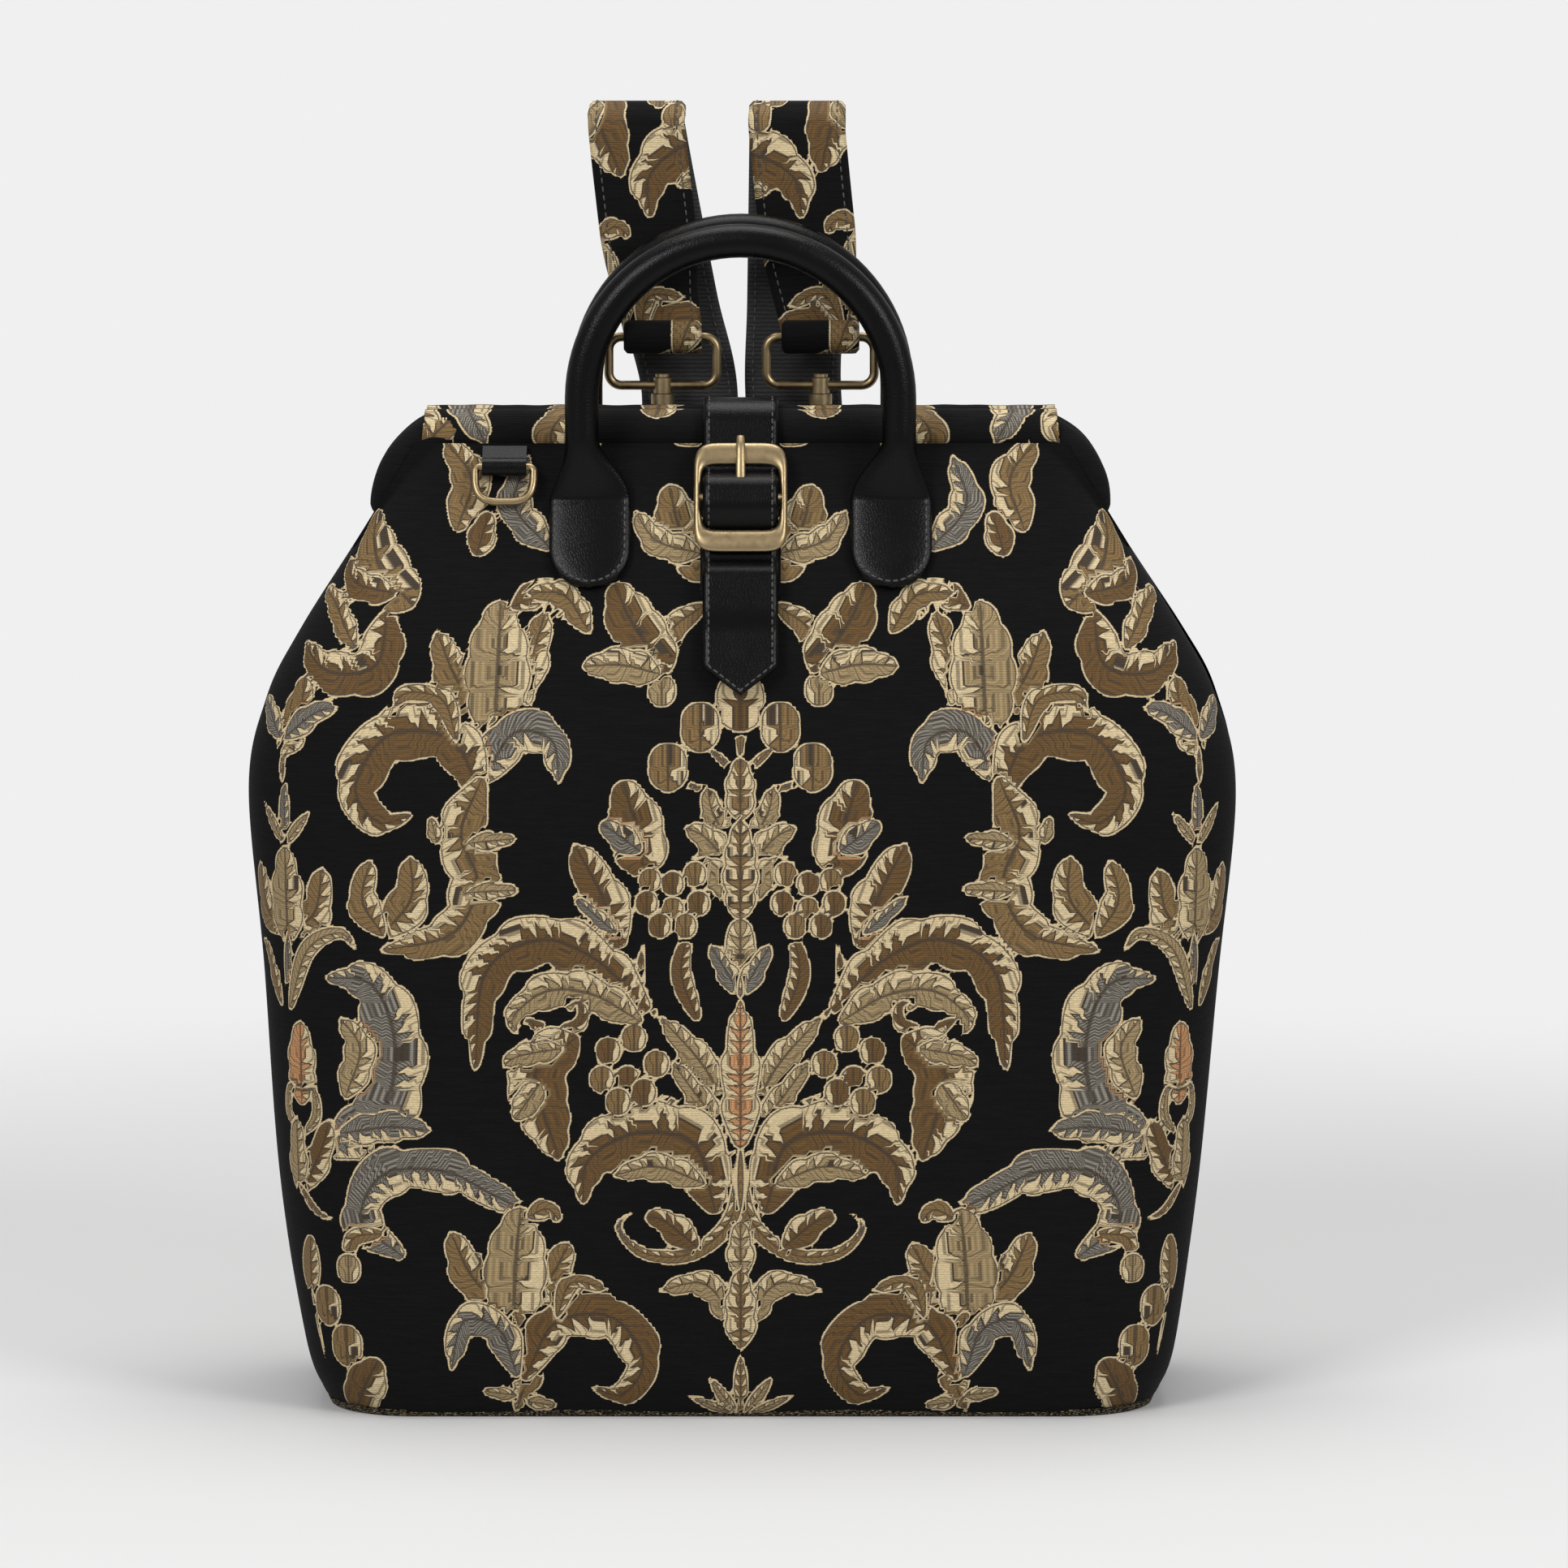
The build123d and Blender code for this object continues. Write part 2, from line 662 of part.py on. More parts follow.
# Shoulder straps: the line of the left one and of the right one
eye_top = eye_bottom + eye_height
loop_radius = eye_wire_radius + fit_gap + shoulder_thickness
fold_back = hook_back + shoulder_thickness * 6
strap_back = bag_depth / 2 + shoulder_thickness / 2 + 4 * fit_gap
for side in (LEFT, RIGHT):
    name = SIDE_NAMES[side]
    fold_x = -41.0 if side == LEFT else 22.0
    run_x = side * 20.5
    eye_x = side * hook_x
    foot_x = side * shoulder_foot_x
    shoulder_line = (
        (eye_x, hook_back + loop_radius * 0.5, eye_top + eye_wire_radius),
        (eye_x * 0.6 + fold_x * 0.4, hook_back + loop_radius, eye_top + loop_radius * 4),
        (fold_x, hook_back + loop_radius * 1.4, shoulder_fold_top - loop_radius * 2),
        (fold_x, hook_back + loop_radius * 1.9, shoulder_fold_top - loop_radius * 0.7),
        (fold_x, hook_back + loop_radius * 2.7, shoulder_fold_top - shoulder_thickness / 2),
        (fold_x, hook_back + loop_radius * 3.5, shoulder_fold_top - loop_radius * 0.7),
        (fold_x, hook_back + loop_radius * 3.9, shoulder_fold_top - loop_radius * 2),
        (fold_x * 0.4 + run_x * 0.6, hook_back + loop_radius * 3.4, eye_top + loop_radius * 2),
        (run_x, hook_back + loop_radius * 2.6, eye_bottom - loop_radius),
        (run_x + side * 6, hook_back + loop_radius * 2.3, hinge_height),
        (run_x + side * 20, bag_depth / 2 * 0.93 + shoulder_thickness, shoulder_height * 0.88),
        (run_x + side * 45, strap_back + fit_gap, shoulder_height * 0.62),
        (foot_x - side * 15, strap_back + fit_gap, shoulder_height * 0.30),
        (foot_x, strap_back, shoulder_foot),
    )
    with BuildPart() as shoulder_strap:
        add(band(shoulder_line, (strap_loop_width, shoulder_width), shoulder_thickness))
        with BuildSketch(profile_plane(eye_x - strap_loop_width / 2)):
            with Locations((hook_back, eye_top)):
                Circle(loop_radius)
        extrude(amount=strap_loop_width)
        with BuildSketch(profile_plane(eye_x - shoulder_width)):
            with Locations((hook_back, eye_top)):
                Circle(eye_wire_radius + fit_gap)
        extrude(amount=2 * shoulder_width, mode=Mode.SUBTRACT)
    keep(shoulder_strap, f"{name}_shoulder_strap")

    with BuildPart() as foot_patch:
        with BuildSketch(front_plane(strap_back + shoulder_thickness / 2 + fit_gap)):
            with Locations((foot_x, shoulder_foot)):
                RectangleRounded(patch_width, patch_length, patch_corner)
        extrude(amount=-patch_thickness)
    keep(foot_patch, f"{name}_foot_patch")

    # Snap hook: wire eye, swivelling hook body and sprung gate
    with BuildSketch(front_plane(hook_back)) as eye_outline:
        with Locations((eye_x, eye_bottom + eye_height / 2)):
            RectangleRounded(eye_width - 2 * eye_wire_radius, eye_height, eye_corner)
    eye_wire = eye_outline.sketch.faces()[0].outer_wire()
    with BuildPart() as hook_eye:
        with BuildSketch(Plane(origin=eye_wire @ 0, z_dir=eye_wire % 0)):
            Circle(eye_wire_radius)
        sweep(path=eye_wire)
        with BuildSketch(Plane(origin=(eye_x, hook_back, eye_bottom - eye_boss_height / 2))):
            Circle(eye_boss_radius)
        extrude(amount=eye_boss_height)
        with BuildSketch(Plane(origin=(eye_x, hook_back, eye_bottom - eye_boss_height))):
            Circle(swivel_pin_radius + pin_clearance)
        extrude(amount=2 * eye_boss_height, mode=Mode.SUBTRACT)
    keep(hook_eye, f"{name}_hook_eye")

    collar_head = eye_bottom - eye_boss_height / 2 - swivel_gap
    collar_foot = collar_head - swivel_collar_height
    shank_foot = hook_centre + (hook_outer_radius + hook_inner_radius) / 2
    gate_pivot = (hook_back + gate_pivot_out, hook_centre + gate_pivot_rise)
    with BuildPart() as hook_body:
        with BuildSketch(Plane(origin=(eye_x, hook_back, collar_foot))):
            Circle(swivel_collar_radius)
        extrude(amount=swivel_collar_height)
        with BuildSketch(Plane(origin=(eye_x, hook_back, collar_foot))):
            Circle(swivel_pin_radius)
        extrude(amount=eye_boss_height + swivel_collar_height + 2 * swivel_gap)
        with BuildSketch(Plane(origin=(eye_x, hook_back, eye_bottom + eye_boss_height / 2 + swivel_gap))):
            Circle(eye_boss_radius * 0.8)
        extrude(amount=pin_head)
        with BuildSketch(profile_plane(eye_x - hook_thickness / 2)):
            with Locations((hook_back, (collar_foot + shank_foot) / 2)):
                Rectangle(hook_shank_width, collar_foot - shank_foot + fit_gap)
            with Locations((hook_back, hook_centre)):
                Circle(hook_outer_radius)
                Circle(hook_inner_radius, mode=Mode.SUBTRACT)
            with BuildLine():
                spread = 2 * hook_outer_radius
                rise = spread * tan(radians(hook_mouth_deg / 2))
                Polyline(
                    (hook_back, hook_centre + hook_outer_radius * 0.2),
                    (hook_back + spread, hook_centre + hook_outer_radius * 0.2 - rise * 0.4),
                    (hook_back + spread, hook_centre + hook_outer_radius * 0.2 + rise * 0.75),
                    (hook_back, hook_centre + hook_outer_radius * 0.2),
                )
            make_face(mode=Mode.SUBTRACT)
        extrude(amount=hook_thickness)
        with BuildSketch(profile_plane(eye_x - gate_width / 2 - fit_gap)):
            with Locations((hook_back + gate_tip_out, hook_centre + (gate_pivot_rise - gate_tip_drop) / 2)):
                Rectangle(
                    2 * (gate_eye_radius + 2 * fit_gap) + gate_tip_out - gate_pivot_out,
                    gate_pivot_rise + gate_tip_drop + 2 * (gate_eye_radius + fit_gap),
                )
        extrude(amount=gate_width + 2 * fit_gap, mode=Mode.SUBTRACT)
        with BuildSketch(profile_plane(eye_x - gate_width)):
            with Locations(gate_pivot):
                Circle(gate_pin_radius)
        extrude(amount=2 * gate_width)
    keep(hook_body, f"{name}_hook_body")

    with BuildPart() as hook_gate:
        with BuildSketch(profile_plane(eye_x - gate_width / 2)):
            with Locations(gate_pivot):
                Circle(gate_eye_radius)
            with Locations((hook_back + gate_tip_out, hook_centre - gate_tip_drop)):
                Circle(gate_tip_radius)
            make_hull()
            with Locations(gate_pivot):
                Circle(gate_pin_radius + pin_clearance, mode=Mode.SUBTRACT)
        extrude(amount=gate_width)
    keep(hook_gate, f"{name}_hook_gate")

    # Rear ring that the hook holds, in its leather tab on the back collar
    bow_height = hook_centre - hook_inner_radius + anchor_ring_wire_radius + 4 * fit_gap - anchor_ring_height
    with BuildPart() as anchor_ring:
        add(wire_ring(Plane(origin=(eye_x, hook_back, anchor_ring_height), x_dir=(1, 0, 0), z_dir=(0, -1, 0)),
                      anchor_ring_span, bow_height, anchor_ring_wire_radius))
    keep(anchor_ring, f"{name}_anchor_ring")

    with BuildPart() as anchor_tab:
        with BuildSketch(profile_plane(eye_x - anchor_tab_width / 2)):
            with Locations((hook_back, anchor_ring_height)):
                Circle(anchor_loop_radius)
            with BuildLine():
                Polyline(
                    (hook_back + anchor_loop_radius * 0.6, anchor_ring_height),
                    (hook_back - anchor_loop_radius * 0.6, anchor_ring_height),
                    collar_point(BACK, anchor_ring_height - overrun, fit_gap)[1:],
                    collar_point(BACK, anchor_ring_height - anchor_tab_length, fit_gap)[1:],
                    collar_point(BACK, anchor_ring_height - anchor_tab_length, anchor_tab_thickness)[1:],
                    (hook_back + anchor_loop_radius * 0.6, anchor_ring_height),
                )
            make_face()
            with Locations((hook_back, anchor_ring_height)):
                Circle(anchor_ring_wire_radius + fit_gap / 2, mode=Mode.SUBTRACT)
        extrude(amount=anchor_tab_width)
    keep(anchor_tab, f"{name}_anchor_tab")

print(len(finished), "sub-parts written")
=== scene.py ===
import json
import math

import bpy
import numpy as np
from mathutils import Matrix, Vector


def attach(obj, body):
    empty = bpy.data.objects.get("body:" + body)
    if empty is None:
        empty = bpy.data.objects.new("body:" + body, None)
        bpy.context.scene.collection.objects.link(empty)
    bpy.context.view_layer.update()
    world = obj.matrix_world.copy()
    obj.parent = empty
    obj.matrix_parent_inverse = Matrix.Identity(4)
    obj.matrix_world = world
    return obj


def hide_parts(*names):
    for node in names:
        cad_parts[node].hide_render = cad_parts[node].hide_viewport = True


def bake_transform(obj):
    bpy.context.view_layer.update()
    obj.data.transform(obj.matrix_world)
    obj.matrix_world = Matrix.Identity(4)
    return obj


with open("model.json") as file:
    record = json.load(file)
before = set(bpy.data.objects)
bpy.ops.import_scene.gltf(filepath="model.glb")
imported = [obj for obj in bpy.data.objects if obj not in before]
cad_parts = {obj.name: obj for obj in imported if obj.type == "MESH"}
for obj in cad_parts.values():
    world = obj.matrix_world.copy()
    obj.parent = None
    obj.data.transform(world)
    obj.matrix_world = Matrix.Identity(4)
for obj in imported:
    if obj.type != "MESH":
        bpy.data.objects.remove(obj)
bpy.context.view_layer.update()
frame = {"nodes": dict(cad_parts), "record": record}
mm = 0.001


def addMesh(name, points, faces, smooth=True):
    mesh = bpy.data.meshes.new(name)
    corners = [tuple(p) for p in np.asarray(points) * mm]
    mesh.from_pydata(corners, [], [tuple(int(i) for i in f) for f in faces])
    mesh.validate()
    mesh.polygons.foreach_set("use_smooth", [smooth] * len(mesh.polygons))
    obj = bpy.data.objects.new(name, mesh)
    bpy.context.collection.objects.link(obj)
    return obj


def gridFaces(rows, cols, wrapCols=False, flip=False):
    faces = []
    for i in range(rows - 1):
        for j in range(cols if wrapCols else cols - 1):
            k = (j + 1) % cols
            quad = (i * cols + j, i * cols + k, (i + 1) * cols + k, (i + 1) * cols + j)
            faces.append(quad[::-1] if flip else quad)
    return faces


def ease(value, low, high):
    t = np.clip((np.asarray(value, float) - low) / (high - low), 0, 1)
    return t * t * (3 - 2 * t)


def smoothLine(points, count):
    # Catmull-Rom through the points, evenly spaced along its length
    p = np.asarray(points, float)
    if len(p) == 2:
        return p[0] + (p[1] - p[0]) * np.linspace(0, 1, count)[:, None]
    ends = np.vstack([2 * p[0] - p[1], p, 2 * p[-1] - p[-2]])
    out = []
    for i in range(1, len(ends) - 2):
        a, b, c, d = ends[i - 1:i + 3]
        t = np.linspace(0, 1, 24, endpoint=False)[:, None]
        square, cube = 2 * a - 5 * b + 4 * c - d, 3 * b - a - 3 * c + d
        out.append(0.5 * (2 * b + (c - a) * t + square * t**2 + cube * t**3))
    dense = np.vstack(out + [p[-1:]])
    length = np.concatenate([[0], np.cumsum(np.linalg.norm(np.diff(dense, axis=0), axis=1))])
    where = np.linspace(0, length[-1], count)
    return np.stack([np.interp(where, length, dense[:, k]) for k in range(dense.shape[1])], axis=1)


# Pattern of the cloth: leaves, petals and scrolls drawn as tapering strokes.
# Each stroke is colour, half width, lobes and its middle line, in cells; it is mirrored in the middle line.
cell = 0.2472  # mm
patternTop = 327.7  # height of row 0 of the cells, in mm
strokeSteps = 60
cream, gold, brown, peach, grey = 0.0, 0.25, 0.5, 0.75, 1.0
strokes = [
    (gold, 11, 0, [(0, 200), (0, 300)]), (gold, 9, 0, [(8, 312), (62, 262)]),
    (gold, 8, 0, [(30, 345), (112, 322)]), (brown, 40, 0, [(0, 212), (0, 196)]),
    (gold, 31, 2, [(62, 262), (62, 228)]), (gold, 31, 2, [(112, 322), (112, 290)]),
    (cream, 24, 3, [(0, 430), (40, 380), (52, 330)]), (gold, 26, 3, [(0, 380), (0, 288)]),
    (cream, 28, 3, [(0, 480), (50, 415), (88, 395)]), (cream, 26, 3, [(0, 505), (48, 462), (82, 446)]),
    (gold, 30, 4, [(0, 535), (0, 380)]), (brown, 46, 3, [(150, 462), (160, 400), (182, 325)]),
    (grey, 24, 2, [(158, 430), (216, 388)]), (brown, 40, 2, [(188, 575), (215, 500), (258, 420)]),
    (grey, 15, 2, [(192, 560), (262, 500)]), (brown, 19, 0, [(68, 690), (92, 620), (78, 548)]),
    (brown, 11, 0, [(130, 690), (155, 640), (150, 570)]), (cream, 32, 2, [(0, 645), (0, 535)]),
    (grey, 20, 2, [(0, 655), (48, 575)]),
    (brown, 44, 5, [(150, 672), (225, 600), (310, 570), (395, 622), (412, 778)]),
    (cream, 34, 4, [(160, 694), (230, 655), (300, 650), (352, 690), (345, 720)]),
    (brown, 15, 0, [(330, 696), (290, 716), (250, 702), (246, 674), (268, 664)]),
    (cream, 30, 4, [(5, 870), (55, 770), (128, 686)]), (cream, 24, 3, [(5, 890), (62, 820), (112, 752)]),
    (grey, 15, 0, [(15, 905), (70, 850), (140, 806)]), (peach, 34, 3, [(0, 890), (0, 660)]),
    (brown, 48, 5, [(262, 728), (318, 778), (282, 915)]),
    (cream, 22, 3, [(280, 740), (345, 752), (370, 770)]), (cream, 24, 3, [(315, 800), (350, 850)]),
    (brown, 54, 5, [(42, 985), (72, 890), (160, 872), (236, 915), (245, 985)]),
    (cream, 26, 3, [(60, 950), (130, 925), (200, 940)]),
    (gold, 15, 0, [(0, 900), (14, 1005), (75, 1062), (150, 1062), (190, 1020), (160, 990)]),
    (brown, 26, 2, [(70, 1050), (120, 1010), (150, 1005)]), (cream, 24, 2, [(0, 1100), (0, 1008)]),
    (cream, 25, 3, [(5, 1180), (55, 1112), (130, 1122)]), (gold, 28, 3, [(0, 1208), (0, 1085)]),
    (gold, 14, 0, [(0, 1318), (0, 1222)]), (cream, 12, 0, [(8, 1318), (50, 1258)]),
    (cream, 10, 0, [(14, 1322), (85, 1288)]), (gold, 34, 3, [(372, 232), (330, 150), (300, 62)]),
    (gold, 36, 3, [(392, 232), (440, 170), (472, 96)]), (cream, 52, 4, [(380, 240), (376, 150), (372, 52)]),
    (brown, 24, 3, [(352, 60), (300, 38), (262, 84)]), (gold, 13, 0, [(380, 228), (400, 320)]),
    (grey, 36, 3, [(396, 322), (352, 252), (292, 262), (280, 330)]),
    (brown, 46, 4, [(402, 345), (448, 262), (545, 256), (596, 335), (560, 388), (505, 376)]),
    (gold, 20, 2, [(440, 262), (462, 202), (520, 192), (540, 226)]),
    (gold, 44, 5, [(404, 330), (432, 405), (408, 480), (446, 560), (560, 588)]),
    (cream, 17, 2, [(420, 420), (345, 412)]), (cream, 17, 2, [(420, 496), (340, 492)]),
    (cream, 14, 2, [(470, 420), (480, 380)]), (gold, 34, 2, [(552, 560), (510, 505), (512, 440)]),
    (gold, 27, 2, [(556, 560), (586, 508), (572, 444)]), (grey, 13, 0, [(715, 430), (715, 318)]),
    (cream, 11, 0, [(712, 425), (668, 372)]), (cream, 11, 0, [(718, 425), (762, 362)]),
    (gold, 30, 2, [(705, 560), (662, 530), (648, 458)]),
    (gold, 30, 2, [(725, 560), (768, 530), (782, 458)]), (cream, 36, 3, [(715, 575), (715, 428)]),
    (grey, 12, 0, [(715, 660), (715, 560)]),
    (cream, 17, 0, [(712, 680), (676, 590), (622, 560), (592, 590)]),
    (gold, 16, 2, [(735, 680), (770, 600), (800, 580)]),
    (grey, 54, 5, [(640, 900), (556, 838), (536, 730), (572, 640), (646, 630)]),
    (cream, 28, 3, [(612, 812), (590, 740), (622, 690)]),
    (grey, 28, 3, [(618, 872), (545, 862), (478, 868)]), (peach, 32, 3, [(692, 826), (692, 700)]),
    (cream, 11, 0, [(690, 880), (664, 850), (668, 808), (690, 806)]),
    (cream, 11, 0, [(694, 880), (722, 850), (720, 808), (696, 806)]),
    (brown, 27, 2, [(690, 965), (655, 900), (640, 850)]), (cream, 24, 2, [(705, 970), (705, 850)]),
    (gold, 9, 0, [(705, 960), (668, 1000), (630, 1012)]),
    (grey, 40, 4, [(532, 1062), (590, 1010), (556, 938), (462, 932), (380, 972), (312, 1004)]),
    (gold, 16, 0, [(560, 1030), (604, 1040), (612, 1090)]), (cream, 22, 0, [(612, 1092), (612, 1084)]),
    (gold, 34, 3, [(340, 1150), (296, 1100), (266, 1044)]),
    (gold, 34, 3, [(372, 1150), (420, 1096), (452, 1026)]),
    (cream, 50, 4, [(354, 1164), (350, 1080), (342, 990)]),
    (gold, 18, 2, [(330, 1004), (300, 992), (280, 1012)]),
    (gold, 28, 4, [(350, 1160), (330, 1240), (352, 1320)]),
    (brown, 40, 4, [(334, 1255), (288, 1172), (200, 1164), (152, 1232), (184, 1288), (236, 1276)]),
    (grey, 30, 3, [(350, 1252), (378, 1182), (432, 1172), (452, 1252)]),
    (gold, 17, 2, [(286, 1162), (262, 1108), (200, 1122)]), (cream, 14, 2, [(350, 1290), (404, 1282)]),
    (cream, 14, 2, [(334, 1300), (286, 1308)]), (gold, 24, 0, [(690, 1128), (684, 1040)]),
    (grey, 6, 0, [(690, 1128), (668, 1250)]), (gold, 27, 2, [(655, 1168), (655, 1140)]),
    (gold, 29, 2, [(620, 1230), (620, 1202)]), (brown, 38, 3, [(610, 1318), (585, 1268), (568, 1236)]),
    (gold, 22, 0, [(62, 62), (108, 100), (120, 186)]), (cream, 24, 0, [(122, 190), (122, 182)]),
    (brown, 44, 4, [(118, 150), (166, 88), (196, 26)]),
    (cream, 30, 3, [(130, 160), (184, 148), (246, 150)]), (gold, 24, 3, [(236, 96), (274, 44), (336, 40)]),
    (brown, 40, 4, [(548, 76), (566, 150), (640, 160), (700, 118)]),
    (gold, 24, 3, [(600, 120), (640, 60), (690, 40)]), (gold, 34, 3, [(722, 282), (690, 220), (684, 168)]),
    (grey, 22, 2, [(716, 262), (660, 222), (622, 214)]),
    (grey, 22, 2, [(728, 262), (770, 222), (800, 214)]), (cream, 8, 0, [(720, 330), (720, 270)]),
    (gold, 46, 4, [(516, 52), (566, -6), (590, -80)]), (brown, 26, 3, [(540, 40), (606, 26), (636, -10)]),
    (gold, 42, 4, [(50, 10), (92, -50), (112, -122)]), (cream, 26, 3, [(66, -20), (130, -38), (166, -84)]),
    (grey, 30, 3, [(300, -30), (352, -92), (330, -168)]),
    (gold, 34, 3, [(440, -60), (420, -130), (462, -190)]), (brown, 24, 2, [(410, -20), (392, -80)]),
    (gold, 26, 3, [(210, -90), (246, -150), (222, -206)]),
    (cream, 36, 4, [(70, -190), (120, -240), (200, -236)]),
    (gold, 32, 3, [(330, -216), (390, -262), (450, -236)]), (brown, 30, 3, [(0, -180), (0, -280)]),
    (cream, 24, 2, [(480, -206), (530, -250), (560, -230)]),
]
berryClusters = [
    (20, [(70, 470), (105, 485), (140, 480), (65, 515), (105, 525), (145, 515), (85, 550), (125, 550)]),
    (22, [(165, 725), (205, 745), (130, 765), (175, 790), (215, 790), (150, 810), (190, 825)]),
]
for berryRadius, berries in berryClusters:
    for number, (berryX, berryY) in enumerate(berries):
        colour = brown if number % 2 else gold
        strokes.append((colour, berryRadius, 0, [(berryX, berryY), (berryX, berryY - 4)]))


def patternAt(side, height):
    # Depth inside the top stroke, its colour, place along it, and place across as a share of its half width
    side, height = np.asarray(side, float).ravel(), np.asarray(height, float).ravel()
    x = np.abs(side)
    depth = np.full(len(x), -4.0)
    hue, along, across = np.zeros(len(x)), np.zeros(len(x)), np.zeros(len(x))
    for colour, width, lobes, line in strokes:
        pts = np.asarray(line, float) * cell
        spine = smoothLine(np.stack([pts[:, 0], patternTop - pts[:, 1]], axis=1), strokeSteps)
        wide = width * cell
        for mirror in ((1, -1) if pts[:, 0].min() < wide else (1,)):
            path = spine * [mirror, 1]
            low, high = path.min(axis=0) - wide - 2, path.max(axis=0) + wide + 2
            inBox = (x > low[0]) & (x < high[0]) & (height > low[1]) & (height < high[1])
            near = np.flatnonzero(inBox)
            if not len(near):
                continue
            dx = x[near, None] - path[None, :, 0]
            dz = height[near, None] - path[None, :, 1]
            length = np.linalg.norm(spine[-1] - spine[0]) + np.linalg.norm(np.diff(spine, axis=0), axis=1).sum()
            t = np.linspace(0, 1, strokeSteps)
            if length < 4 * wide * 0.8 and lobes <= 2:
                taper = np.ones(strokeSteps)
            else:
                taper = np.sin(np.pi * np.clip(0.06 + 0.94 * t, 0, 1) ** 0.85) ** 0.62
            if lobes > 1:
                saw = np.mod(lobes * t * 1.15 + 0.1, 1.0)
                taper = taper * (0.66 + 0.40 * saw ** 0.9)
            gap = wide * taper[None, :] - np.sqrt(dx * dx + dz * dz)
            best = gap.argmax(axis=1)
            d = gap[np.arange(len(near)), best]
            tangent = np.gradient(path, axis=0)
            tangent /= np.linalg.norm(tangent, axis=1)[:, None] + 1e-9
            tx, tz = tangent[best, 0], tangent[best, 1]
            lateral = tx * dz[np.arange(len(near)), best] - tz * dx[np.arange(len(near)), best]
            use = d > -0.75
            hit = near[use]
            depth[hit], hue[hit] = d[use], colour
            along[hit] = (t[best] * length * 0.5)[use]
            across[hit] = (lateral * mirror / (wide * taper[best] + 0.3))[use]
    return depth, hue, along, across


def paintPattern(obj, side, height):
    values = np.stack(patternAt(side, height), axis=1).astype(np.float32)
    layer = obj.data.attributes.new("motif", "FLOAT_COLOR", "POINT")
    layer.data.foreach_set("color", values.ravel())
    return values[:, 0]


# Shared shader groups
def newGroup(name, inputs, outputs):
    group = bpy.data.node_groups.new(name, "ShaderNodeTree")
    for label, kind, value in inputs:
        socket = group.interface.new_socket(label, in_out="INPUT", socket_type=kind)
        if value is not None:
            socket.default_value = value
    for label, kind in outputs:
        group.interface.new_socket(label, in_out="OUTPUT", socket_type=kind)
    return group, group.nodes.new("NodeGroupInput"), group.nodes.new("NodeGroupOutput")


def node(tree, kind, **settings):
    made = tree.nodes.new(kind)
    for key, value in settings.items():
        if key.startswith("in_"):
            made.inputs[int(key[3:])].default_value = value
        else:
            setattr(made, key, value)
    return made


def maths(tree, operation, a, b=None, c=None, clamp=False):
    made = node(tree, "ShaderNodeMath", operation=operation, use_clamp=clamp)
    for socket, value in zip(made.inputs, (a, b, c)):
        if value is None:
            continue
        if isinstance(value, (int, float)):
            socket.default_value = value
        else:
            tree.links.new(value, socket)
    return made.outputs[0]


def mixColour(tree, factor, a, b, blend="MIX"):
    made = node(tree, "ShaderNodeMix", data_type="RGBA", blend_type=blend)
    for socket, value in ((made.inputs[0], factor), (made.inputs[6], a), (made.inputs[7], b)):
        if isinstance(value, (tuple, float, int)):
            socket.default_value = value
        else:
            tree.links.new(value, socket)
    return made.outputs[2]


def stepBand(tree, value, edge, soft):
    low, high = edge - soft, edge + soft
    made = node(tree, "ShaderNodeMapRange", interpolation_type="SMOOTHSTEP", in_1=low, in_2=high)
    tree.links.new(value, made.inputs[0])
    return made.outputs[0]


def weaveGroup():
    # Fine rows of the weave with uneven picks; scale in rows per metre
    inputs = [("Rows", "NodeSocketFloat", 900.0), ("Uneven", "NodeSocketFloat", 0.5)]
    outputs = [("Rows", "NodeSocketFloat"), ("Speckle", "NodeSocketFloat"), ("Height", "NodeSocketFloat")]
    group, entry, leave = newGroup("weaveRows", inputs, outputs)
    place = node(group, "ShaderNodeNewGeometry")
    split = node(group, "ShaderNodeSeparateXYZ")
    group.links.new(place.outputs["Position"], split.inputs[0])
    wobble = node(group, "ShaderNodeTexNoise", in_2=420.0, in_3=3.0)
    group.links.new(place.outputs["Position"], wobble.inputs[0])
    up = maths(group, "MULTIPLY", split.outputs[2], entry.outputs[0])
    up = maths(group, "ADD", up, maths(group, "MULTIPLY", wobble.outputs[0], entry.outputs[1]))
    row = maths(group, "ABSOLUTE", maths(group, "SINE", maths(group, "MULTIPLY", up, 3.14159)))
    stretch = node(group, "ShaderNodeVectorMath", operation="MULTIPLY")
    stretch.inputs[1].default_value = (1.0, 1.0, 3.4)
    group.links.new(place.outputs["Position"], stretch.inputs[0])
    speck = node(group, "ShaderNodeTexNoise", in_2=820.0, in_3=2.0, in_4=0.6)
    group.links.new(stretch.outputs[0], speck.inputs[0])
    group.links.new(row, leave.inputs[0])
    group.links.new(speck.outputs[0], leave.inputs[1])
    rough = maths(group, "MULTIPLY", speck.outputs[0], 0.8)
    tall = maths(group, "ADD", maths(group, "MULTIPLY", row, 0.6), rough)
    group.links.new(tall, leave.inputs[2])
    return group


